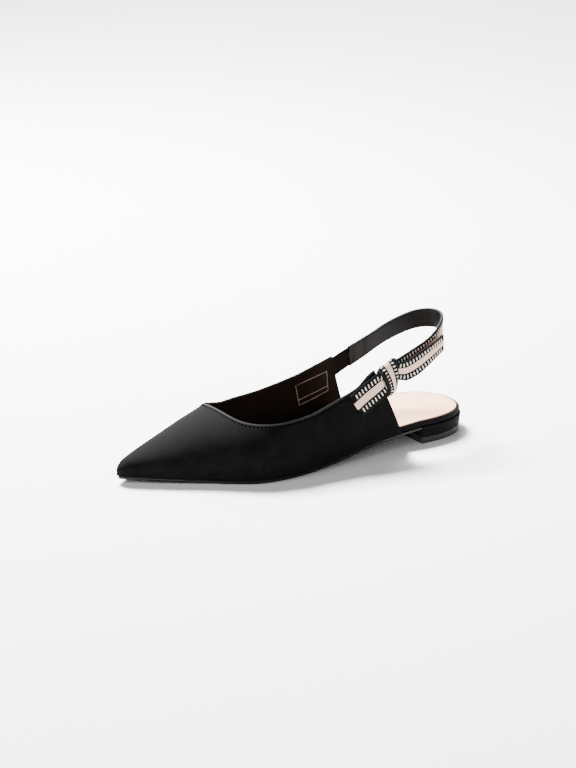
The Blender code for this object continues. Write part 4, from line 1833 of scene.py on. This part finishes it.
@dataclass
class Bottom:
    """The outsole, the heel block and its lift, the insole board and the sock."""

    last: Last
    lift_height: float = 4.4
    upper_wall: float = 1.4
    board: float = 1.0
    sock: float = 0.8
    heel_half: float = 29.8
    seat_half: float = 28.7
    rounding: float = 42.0
    fullness: float = 2.3
    seat_back: float = 0.9
    block_taper: float = 0.5
    lift_inset: float = 0.8
    sole_inset: float = 0.9
    sock_inset: float = 2.1
    board_extra: float = 0.5
    nose_half: float = 3.4
    nose_length: float = 0.9
    nose_from: float = 240.0
    nose_step: float = 0.25
    arc_points: int = 36
    seat_stations: int = 64
    nose_points: int = 8
    sole_stations: int = 90

    def heel_arc(self, half: float, back: float, rounding: float) -> list[Plan]:
        """The rounded back of the heel, from its middle to its side, as (s, y).

        Args:
            half: half the heel's width.
            back: the station of its back.
            rounding: the length of the arc.

        Returns:
            The points.
        """
        arc = []
        for k in range(self.arc_points):
            angle = 0.5 * math.pi * k / self.arc_points
            s = back + rounding * (1.0 - math.cos(angle) ** (2.0 / self.fullness))
            arc.append((s, half * math.sin(angle) ** (2.0 / self.fullness)))
        return arc

    def heel_ring(self, inset: float, height: float) -> list[Vector]:
        """The plan of the heel at one height, from the breast round the back.

        Args:
            inset: how far it is moved in.
            height: the height.

        Returns:
            The ring.
        """
        half = self.heel_half - inset
        arc = self.heel_arc(half, inset, self.rounding - inset)
        breast = self.last.heel_breast - inset * 0.5
        plan = [(breast, -half)] + [(s, -y) for s, y in arc[:0:-1]] + [(inset, 0.0)]
        plan += arc[1:] + [(breast, half)]
        return [self.last.point(s, y, height) for s, y in plan]

    def lift(self) -> bpy.types.Object:
        """The rubber lift, with rounded lower and upper edges."""
        skin, inset, top = Skin(), self.lift_inset, self.lift_height
        profile = ((0.7, 0.0), (0.25, 0.12), (0.05, 0.45), (0.0, 0.9), (0.0, top - 0.4),
                   (0.12, top - 0.1), (0.4, top))
        skin.stack([self.heel_ring(inset + x, z) for x, z in profile], False)
        return declare(skin.mesh("heel_lift", (LIFT,), 40.0), Slot.LIFT, "top_lift")

    def block(self) -> bpy.types.Object:
        """The covered heel block, whose top edge is rounded under the board."""
        low = self.lift_height + GAP
        top = self.last.underside(self.last.heel_breast) + self.last.outsole
        skin = Skin()
        profile = ((self.block_taper + 0.5, low), (self.block_taper + 0.1, low + 0.25),
                   (self.block_taper, low + 0.7), (0.3, 0.5 * (low + top)), (0.1, top - 1.5),
                   (0.12, top - 0.9), (0.35, top - 0.35), (0.75, top - 0.08), (1.3, top))
        skin.stack([self.heel_ring(x, z) for x, z in profile], False)
        return declare(skin.mesh("heel_cover", (COVERING,), 40.0), Slot.HEEL, "heel_block")

    def sole_outline(self, inset: float) -> list[Plan]:
        """The outsole's plan, moved in from the feather edge by the inset.

        Args:
            inset: how far it is moved in.

        Returns:
            The plan.
        """
        stations = self.last.toe_stations(self.last.heel_breast + GAP, self.sole_stations)
        lateral, medial = ([(s, self.last.section(s).edge(side)) for s in stations] for side in Side)
        tip = (self.last.toe_tip, self.last.section(self.last.toe_tip).ridge_y)
        outline = lateral + [tip] + medial[::-1]
        moved = []
        for k, (s, y) in enumerate(outline):
            before = outline[max(k - 1, 0)]
            after = outline[min(k + 1, len(outline) - 1)]
            along = Vector((after[0] - before[0], after[1] - before[1])).normalized()
            moved.append((s - along.y * inset, y + along.x * inset))
        return moved

    def outsole(self) -> bpy.types.Object:
        """The thin sole, glossy along its edge."""
        skin, thick = Skin(), self.last.outsole
        profile = ((1.0, 0.0), (0.35, 0.12), (0.05, 0.5), (0.0, 1.0), (0.0, 1.6), (0.15, 1.95),
                   (0.5, thick))
        rings = []
        for inset, rise in profile:
            plan = self.sole_outline(self.sole_inset + inset)
            rings.append([self.last.point(s, y, self.last.underside(s) + rise) for s, y in plan])
        skin.stack(rings, False)
        return declare(skin.mesh("sole_unit", (SOLE,), 45.0), Slot.SOLE, "outsole")

    def inner_edge(self, s: float, side: Side, inset: float) -> float:
        """The feather edge at s, moved in under the board's edge and by the inset.

        Args:
            s: the station.
            side: the side.
            inset: how far it is moved in.

        Returns:
            Its y.
        """
        slope = self.last.section(s + 0.5).edge(side) - self.last.section(s - 0.5).edge(side)
        reach = self.upper_wall + GAP + self.board_extra + inset
        return self.last.section(s).edge(side) - side.value * reach * math.hypot(1.0, slope)

    def nose(self, s: float, inset: float) -> Plan:
        """The middle of the board's plan at s and half its width there.

        Args:
            s: the station.
            inset: how far it is moved in.

        Returns:
            Both.
        """
        lateral = self.inner_edge(s, Side.LATERAL, inset)
        medial = self.inner_edge(s, Side.MEDIAL, inset)
        return 0.5 * (lateral + medial), 0.5 * (medial - lateral)

    def nose_start(self, inset: float) -> float:
        """The station where the board's sides are close enough to round off.

        Args:
            inset: how far it is moved in.

        Returns:
            The station.
        """
        s = self.nose_from
        while self.nose(s + self.nose_step, inset)[1] > self.nose_half:
            s += self.nose_step
        return s

    def seat_side(self, inset: float, side: Side, start: float) -> list[Plan]:
        """One side of the board's plan, from the middle of the back to before the tip.

        Args:
            inset: how far it is moved in.
            side: the side.
            start: where the nose starts.

        Returns:
            The points.
        """
        foot = self.last.quarter(side).foot
        half = self.seat_half - inset
        points = self.heel_arc(half, self.seat_back + inset, self.rounding - inset)
        points += [(50.0, half), (57.0, half - 0.2), (foot - 2.0, half - 0.6)]
        for k in range(self.seat_stations):
            back = (1.0 - k / (self.seat_stations - 1)) ** 1.5
            s = start - (start - foot) * back - 0.5 * (k == 0)
            points.append((s, side.value * self.inner_edge(s, side, inset)))
        middle, width = self.nose(start, inset)
        for k in range(1, self.nose_points):
            angle = 0.5 * math.pi * k / self.nose_points
            across = side.value * middle + width * math.cos(angle)
            points.append((start + width * self.nose_length * math.sin(angle), across))
        return [(s, side.value * y) for s, y in points]

    def seat(self, inset: float) -> list[Plan]:
        """The plan of the insole board.

        Args:
            inset: how far it is moved in.

        Returns:
            The plan.
        """
        start = self.nose_start(inset)
        middle, width = self.nose(start, inset)
        tip = (start + width * self.nose_length, middle)
        medial = self.seat_side(inset, Side.MEDIAL, start)
        return self.seat_side(inset, Side.LATERAL, start) + [tip] + medial[:0:-1]

    def board_low(self, s: float, y: float) -> float:
        """Underside of the board: on the sole behind the quarters, over the margin before.

        Args:
            s: the station.
            y: the sideways place.

        Returns:
            The height.
        """
        foot = self.last.quarter(Side.LATERAL if y < 0.0 else Side.MEDIAL).foot
        step = self.upper_wall + GAP if s > foot - 1.2 else 0.0
        return self.last.feather(s) + step

    def board_high(self, s: float) -> float:
        """Top of the board."""
        return self.last.feather(s) + self.upper_wall + self.board + GAP

    def insole(self) -> bpy.types.Object:
        """The board with its wrapped rim."""
        skin, rings = Skin(), []
        for inset, share, lift in ((0.9, 0.0, 0.0), (0.3, 0.06, 0.0), (0.0, 0.22, 0.0),
                                   (-0.05, 0.55, 0.0), (0.02, 0.9, 0.0), (0.2, 1.0, 0.35),
                                   (0.6, 1.0, 0.75), (1.1, 1.0, 0.9), (1.6, 1.0, 0.8),
                                   (1.95, 1.0, 0.4), (2.05, 1.0, 0.0)):
            ring = []
            for s, y in self.seat(inset):
                low, high = self.board_low(s, y), self.board_high(s)
                ring.append(self.last.point(s, y, low + (high - low) * share + lift))
            rings.append(ring)
        skin.stack(rings, True)
        return declare(skin.mesh("wrapped_insole", (COVERING,), 50.0), Slot.BOARD, "insole_board")

    def sock_lining(self) -> bpy.types.Object:
        """The nude sock, with a soft rounded edge."""
        skin, rings = Skin(), []
        for inset, share in ((0.1, 0.0), (0.0, 0.4), (0.08, 0.75), (0.3, 0.94), (0.7, 1.0)):
            ring = []
            for s, y in self.seat(self.sock_inset + inset):
                z = self.board_high(s) + GAP + self.sock * share
                ring.append(self.last.point(s, y, z))
            rings.append(ring)
        skin.stack(rings, True)
        return declare(skin.mesh("sock_lining", (SOCK,), 50.0), Slot.SOCK, "insole_sock")

    def build(self) -> None:
        """Builds everything under the foot."""
        self.lift()
        self.block()
        self.outsole()
        self.insole()
        self.sock_lining()


@dataclass
class Straps:
    """The back strap with its ribbon, and the elastic that joins it to the medial quarter."""

    last: Last
    laying: Laying
    lining: float = 1.15
    ribbon: float = 0.5
    elastic: float = 1.2
    strap_width: float = 13.0
    strap: tuple[Band, ...] = (
        Band(88.2, -27.1, 56.6, 81.5, -28.3, 43.0),
        Band(84.0, -26.5, 58.2, 79.4, -26.7, 44.4),
        Band(78.0, -25.7, 60.3, 76.0, -25.8, 46.2),
        Band(70.0, -24.8, 63.0, 69.4, -24.9, 49.2),
        Band(62.0, -24.2, 65.6, 62.0, -24.3, 52.2),
        Band(54.0, -23.6, 68.3, 54.0, -23.6, 55.2),
        Band(46.2, -22.8, 70.8, 46.2, -22.8, 58.2),
        Band(38.5, -21.2, 73.6, 38.5, -21.2, 61.2),
        Band(31.8, -18.8, 76.5, 31.8, -18.8, 64.2),
        Band(25.7, -15.4, 79.4, 25.7, -15.4, 67.0),
        Band(20.5, -10.8, 81.8, 20.5, -10.8, 69.0),
        Band(17.2, -5.6, 83.0, 17.2, -5.6, 70.0),
        Band(16.1, 0.0, 83.5, 16.1, 0.0, 70.4),
        Band(17.2, 5.6, 83.3, 17.2, 5.6, 70.0),
        Band(20.5, 10.8, 82.4, 20.5, 10.8, 69.0),
        Band(25.7, 15.8, 80.6, 25.7, 15.8, 67.0),
        Band(31.8, 19.2, 77.9, 31.8, 19.2, 64.4),
        Band(38.5, 21.6, 74.9, 38.5, 21.6, 61.4),
        Band(46.2, 23.0, 71.6, 46.2, 23.0, 58.2),
        Band(54.0, 23.6, 67.8, 54.0, 23.6, 54.4),
        Band(61.0, 24.0, 64.8, 61.0, 24.0, 50.8),
        Band(68.0, 24.3, 62.0, 67.6, 24.4, 47.6),
        Band(75.0, 24.6, 59.4, 73.0, 25.0, 45.0),
    )
    elastic_rows: tuple[Band, ...] = (
        Band(75.5, 24.4, 58.6, 73.5, 24.8, 45.4),
        Band(81.0, 25.0, 56.2, 78.0, 25.8, 42.6),
        Band(86.9, 25.8, 53.2, 82.1, 27.1, 39.8),
        Band(89.6, 26.0, 52.2, 84.6, 27.3, 38.8),
    )
    fold_from: float = 11.0
    fold_depth: float = 0.3
    fold_pitch: float = 2.6
    glue: float = 0.12
    rings: int = 170
    elastic_rings: int = 40
    elastic_steps: int = 24
    edge_lines: Plan = (0.06, 0.94)
    edge_pitch: float = 2.6
    edge_stitch: Triple = (1.5, 0.4, 0.28)
    tack_rows: tuple[float, ...] = (0.905, 0.918, 0.972, 0.984)
    tack_count: int = 8
    tack_margin: float = 0.1
    tack_lift: float = 0.02
    tack_stitch: Triple = (1.3, 0.42, 0.3)

    def gather(self, total: float) -> Callable[[float, float], float]:
        """The wrinkles of the strap where it is folded over the elastic.

        Args:
            total: the strap's length.

        Returns:
            Height by distance along and by v.
        """

        def height(far: float, v: float) -> float:
            """Wrinkles that grow towards the strap's end.

            Args:
                far: the distance along the strap.
                v: the place across it.

            Returns:
                The height.
            """
            near = max(1.0 - (total - far) / self.fold_from, 0.0)
            wave = math.sin(math.tau * (far + 1.5 * v) / self.fold_pitch + 2.0 * math.sin(5.0 * v))
            return self.fold_depth * near * wave

        return height

    def band(self) -> None:
        """The strap's leather with painted edges, and the ribbon sewn to its outer face."""
        rails = Rails(self.last, self.strap)
        gather = self.gather(rails.walk(0.5)[1][-1])
        skin, back = Skin(), self.ribbon + self.glue
        rails.strip(skin, self.lining, self.strap_width, self.rings, ripple=gather,
                    depth=back, slots=(0, 0, 1), cap_slot=2)
        finishes = (STRAP_LINING, EDGE_PAINT, DARK_THREAD)
        declare(skin.mesh("strap_leather_band", finishes), Slot.STRAP, "back_strap")
        skin = Skin()
        rails.strip(skin, self.ribbon, self.strap_width, self.rings, share_map=True,
                    ripple=gather, cap_slot=1)
        declare(skin.mesh("strap_ribbon", (RIBBON, DARK_THREAD)), Slot.RIBBON)
        marks = []
        for v in self.edge_lines:
            for mark in rails.marks(v, self.edge_pitch, -(back + self.lining), (2.0, 3.0)):
                marks.append(Mark(mark.point, mark.along, -mark.out))
        piece = self.laying.lay("strap_stitches", marks, self.edge_stitch, STRAP_THREAD)
        declare(piece, Slot.STRAP)
        Bars(self.laying).dress("strap_ribbon_bars", rails, self.strap_width, (0.5, 0.5))

    def end_tack(self) -> None:
        """The stitches across the strap's folded end, over the elastic."""
        rails = Rails(self.last, self.strap)
        inner = -(self.ribbon + self.glue + self.tack_lift + self.lining)
        marks, margin = [], self.tack_margin
        for back in self.tack_rows:
            across = (rails.at(back, 1.0 - margin) - rails.at(back, margin)).normalized()
            for k in range(self.tack_count):
                v = margin + (1.0 - 2.0 * margin) * k / (self.tack_count - 1)
                point, out = rails.place(back, v)
                marks.append(Mark(point + out * inner * MM, across, -out))
        piece = self.laying.lay("strap_end_tack", marks, self.tack_stitch, STRAP_THREAD)
        declare(piece, Slot.STRAP)

    def elastic_band(self) -> None:
        """The woven elastic."""
        skin = Skin()
        rails = Rails(self.last, self.elastic_rows)
        rails.strip(skin, self.elastic, self.strap_width, self.elastic_rings, steps=self.elastic_steps)
        declare(skin.mesh("woven_elastic_band", (ELASTIC,)), Slot.ELASTIC, "strap_elastic")

    def build(self) -> None:
        """Builds the strap and the elastic."""
        self.band()
        self.end_tack()
        self.elastic_band()


@dataclass
class Bars:
    """The two rows of cream bars woven on a ribbon."""

    laying: Laying
    stripes: Stripes = Stripes()
    pitch: float = 2.9
    size: Triple = (1.15, 3.2, 0.5)
    ribbon_width: float = 16.0
    lift: float = 0.02
    squareness: float = 0.8
    shortest: float = 0.9

    def marks(
        self, surface: Surface, width: float, ends: Plan, squeeze: float = 1.0
    ) -> list[Mark]:
        """Where the bars lie on a ribbon.

        Args:
            surface: the ribbon's face.
            width: its width, in millimetres.
            ends: how much of each end stays bare.
            squeeze: how many times narrower its pattern is than the surface.

        Returns:
            The marks.
        """
        middle = 0.5 * (self.stripes.bars_from + self.stripes.bars_to) / squeeze
        share = width / (self.ribbon_width * squeeze)
        marks = []
        for v in (0.5 - middle, 0.5 + middle):
            marks += surface.marks(v, self.pitch * share ** 0.5, self.lift, ends, share)
        return marks

    def dress(self, name: str, surface: Surface, width: float, ends: Plan) -> bpy.types.Object:
        """Lays the bars on a ribbon of this width, whose ends stay bare."""
        return self.lay(name, self.marks(surface, width, ends))

    def lay(self, name: str, marks: Sequence[Mark]) -> bpy.types.Object:
        """Lays the bars on the marks, as one piece."""
        piece = self.laying.lay(name, marks, self.size, BAR_THREAD, self.squareness, self.shortest)
        return declare(piece, Slot.RIBBON)


class Laid(NamedTuple):
    """A row of the front tail where it lies on the quarter, standing off it a little."""

    top_s: float
    top_z: float
    bottom_s: float
    bottom_z: float
    stand_off: float


@dataclass
class Bow:
    """The ribbon bow on the lateral side: a knot and two cut tails."""

    last: Last
    laying: Laying
    thickness: float = 0.95
    solid: float = 1.2
    tail_width: float = 17.0
    back_width: float = 14.0
    proud: float = 0.1
    tail_rings: int = 90
    tail_steps: int = 26
    tail_bare: Plan = (0.4, 0.4)
    front_cup: float = 0.25
    back_cup: float = 0.5
    knot_rings: int = 110
    knot_steps: int = 30
    hole_steps: int = 4
    knot_ribbon: float = 15.5
    knot_bar: Triple = (1.15, 2.8, 0.42)
    hidden_from: float = 1.2
    start: tuple[Band, ...] = (
        Band(79.0, -27.4, 58.6, 78.0, -27.6, 46.4),
        Band(83.4, -28.2, 56.8, 79.4, -28.7, 45.8),
        Band(85.4, -28.9, 56.6, 81.0, -30.2, 44.8),
    )
    laid: tuple[Laid, ...] = (
        Laid(88.6, 57.4, 83.6, 42.4, 0.7),
        Laid(95.0, 55.4, 87.4, 39.8, 0.9),
        Laid(103.6, 51.7, 94.8, 36.4, 0.9),
        Laid(113.6, 46.9, 104.2, 31.9, 0.9),
    )
    back: tuple[Band, ...] = (
        Band(78.2, -27.3, 59.2, 77.2, -27.5, 46.8),
        Band(71.0, -26.6, 61.6, 70.2, -26.8, 49.2),
        Band(66.0, -27.0, 61.8, 63.4, -27.7, 48.3),
        Band(60.5, -27.2, 63.4, 58.0, -28.0, 49.4),
        Band(52.6, -27.0, 66.3, 51.6, -27.8, 51.8),
        Band(43.6, -26.0, 69.3, 43.6, -27.0, 56.0),
        Band(35.0, -23.4, 71.4, 35.0, -24.4, 59.2),
        Band(26.6, -19.8, 72.6, 26.6, -20.6, 61.4),
    )

    def front_rows(self) -> list[Band]:
        """The rows of the front tail, out of the knot and along the quarter."""
        rows = list(self.start)
        for row in self.laid:
            away = GAP + self.solid + row.stand_off
            top_y = self.last.wall(row.top_s, Side.LATERAL, row.top_z) - away
            bottom_y = self.last.wall(row.bottom_s, Side.LATERAL, row.bottom_z) - away
            rows.append(Band(row.top_s, top_y, row.top_z, row.bottom_s, bottom_y, row.bottom_z))
        return rows

    def relief(self, v: float) -> float:
        """Height of the ribbon's face: its middle stripe stands a little proud."""
        return self.proud if abs(v - 0.5) < Stripes().middle else 0.0

    def tail(self, name: str, node: str, rows: Sequence[Band], width: float, cup: float) -> None:
        """A tail and its bars.

        Args:
            name: the piece's name.
            node: the CAD node that it stands for.
            rows: its rows.
            width: its width.
            cup: how far its edges stand out.
        """
        rails = Rails(self.last, rows, cup)
        skin = Skin()
        rails.strip(skin, self.thickness, width, self.tail_rings, self.relief, steps=self.tail_steps,
                    depth=self.proud, share_map=True)
        declare(skin.mesh(name, (RIBBON,), 60.0), Slot.RIBBON, node)
        Bars(self.laying).dress(name + "_bars", rails, width, self.tail_bare)

    def knot(self) -> None:
        """The wrapped knot and its bars."""
        ring, steps, hole = KnotRing(self.last), self.knot_steps, self.hole_steps
        skin = Skin()
        rings, places = [], []
        far = ring.walk(0.5)[1][-1]
        for k in range(self.knot_rings):
            u = k / self.knot_rings
            drift = ring.drift(u)
            outer = [ring.at(u, j / steps) for j in range(steps + 1)]
            rings.append(outer + [ring.hole_point(u, 1.0 - j / hole) for j in range(hole + 1)])
            across = [0.5 + (j / steps - drift - 0.5) * ring.squeeze for j in range(steps + 1)]
            places.append([(u * far, place) for place in across + [1.0] * (hole + 1)])
        skin.rings(rings, places, closed=True)
        declare(skin.mesh("knot_wrap", (RIBBON,), 60.0), Slot.RIBBON, "bow_knot")
        bars = Bars(self.laying, size=self.knot_bar)
        limit = ring.inside().y + self.hidden_from * MM
        marks = bars.marks(ring, self.knot_ribbon, (0.0, 0.0), ring.squeeze)
        bars.lay("knot_wrap_bars", [mark for mark in marks if mark.point.y < limit])

    def build(self) -> None:
        """Builds the bow."""
        self.tail("front_tail", "bow_tail_front", self.front_rows(), self.tail_width, self.front_cup)
        self.tail("back_tail", "bow_tail_back", self.back, self.back_width, self.back_cup)
        self.knot()


class SoftBox(NamedTuple):
    """A square light: its place and target in metres, its side in metres and its watts."""

    name: str
    place: Triple
    target: Triple
    side: float
    power: float


@dataclass
class Studio:
    """The pale floor, the soft light and the camera."""

    eye: Triple = (-852.1, -1045.3, 494.2)
    azimuth: float = -35.12
    elevation: float = 19.13
    roll: float = 1.65
    lens: float = 95.93
    sensor: float = 36.0
    floor_half: float = 9000.0
    room_light: float = 0.06
    boxes: tuple[SoftBox, ...] = (
        SoftBox("top_box", (-0.12, 0.9, 1.18), (-0.1, 0.0, 0.03), 0.5, 212.0),
        SoftBox("backdrop_box", (1.2, 1.9, 1.5), (1.2, 1.9, 0.0), 1.4, 110.0),
        SoftBox("left_box", (-1.5, -0.2, 0.9), (-0.1, 0.0, 0.03), 0.9, 18.0),
        SoftBox("front_fill", (-0.5, -1.6, 1.0), (-0.1, 0.0, 0.03), 1.0, 8.0),
    )

    def camera(self) -> None:
        """The camera at the photograph's angle."""
        data = bpy.data.cameras.new("photo_camera")
        data.lens = self.lens
        data.sensor_width = self.sensor
        data.clip_start = 0.05
        data.clip_end = 60.0
        around, up_angle, roll = (
            math.radians(angle) for angle in (self.azimuth, self.elevation, self.roll)
        )
        back = Vector((
            math.sin(around) * math.cos(up_angle),
            -math.cos(around) * math.cos(up_angle),
            math.sin(up_angle),
        ))
        right = Vector((math.cos(around), math.sin(around), 0.0))
        upward = back.cross(right)
        across = right * math.cos(roll) + upward * math.sin(roll)
        rising = upward * math.cos(roll) - right * math.sin(roll)
        turned = Matrix((across, rising, back)).transposed().to_4x4()
        camera = bpy.data.objects.new("photo_camera", data)
        camera.matrix_world = Matrix.Translation(Vector(self.eye) * MM) @ turned
        bpy.context.scene.collection.objects.link(camera)
        bpy.context.scene.camera = camera

    def floor(self) -> None:
        """A wide flat floor."""
        half = self.floor_half * MM
        corners = [Vector((x, y, 0.0)) for x, y in ((-half, -half), (half, -half), (half, half),
                                                    (-half, half))]
        mesh = bpy.data.meshes.new("floor")
        mesh.from_pydata([tuple(corner) for corner in corners], [], [(0, 1, 2, 3)])
        mesh.materials.append(FLOOR.material())
        floor = bpy.data.objects.new("floor", mesh)
        bpy.context.scene.collection.objects.link(floor)

    def light(self, box: SoftBox) -> None:
        """Hangs a soft box.

        Args:
            box: the box.
        """
        data = bpy.data.lights.new(box.name, "AREA")
        data.shape = "SQUARE"
        data.size = box.side
        data.energy = box.power
        light = bpy.data.objects.new(box.name, data)
        light.location = box.place
        aim = Vector(box.target) - Vector(box.place)
        light.rotation_euler = aim.to_track_quat("-Z", "Y").to_euler()
        bpy.context.scene.collection.objects.link(light)

    def build(self) -> None:
        """Sets up the studio."""
        world = bpy.data.worlds.new("pale_room")
        world.use_nodes = True
        room = world.node_tree.nodes["Background"]
        room.inputs["Color"].default_value = (1.0, 1.0, 1.0, 1.0)
        room.inputs["Strength"].default_value = self.room_light
        bpy.context.scene.world = world
        for box in self.boxes:
            self.light(box)
        self.camera()
        self.floor()


def main() -> None:
    """Builds the shoe's looks and the studio in order."""
    logging.basicConfig(level=logging.INFO, format="%(name)s %(message)s")
    last = Last()
    laying = Laying()
    Studio().build()
    Upper(last, laying).build()
    Bottom(last).build()
    Straps(last, laying).build()
    Bow(last, laying).build()


if __name__ == "__main__":
    main()
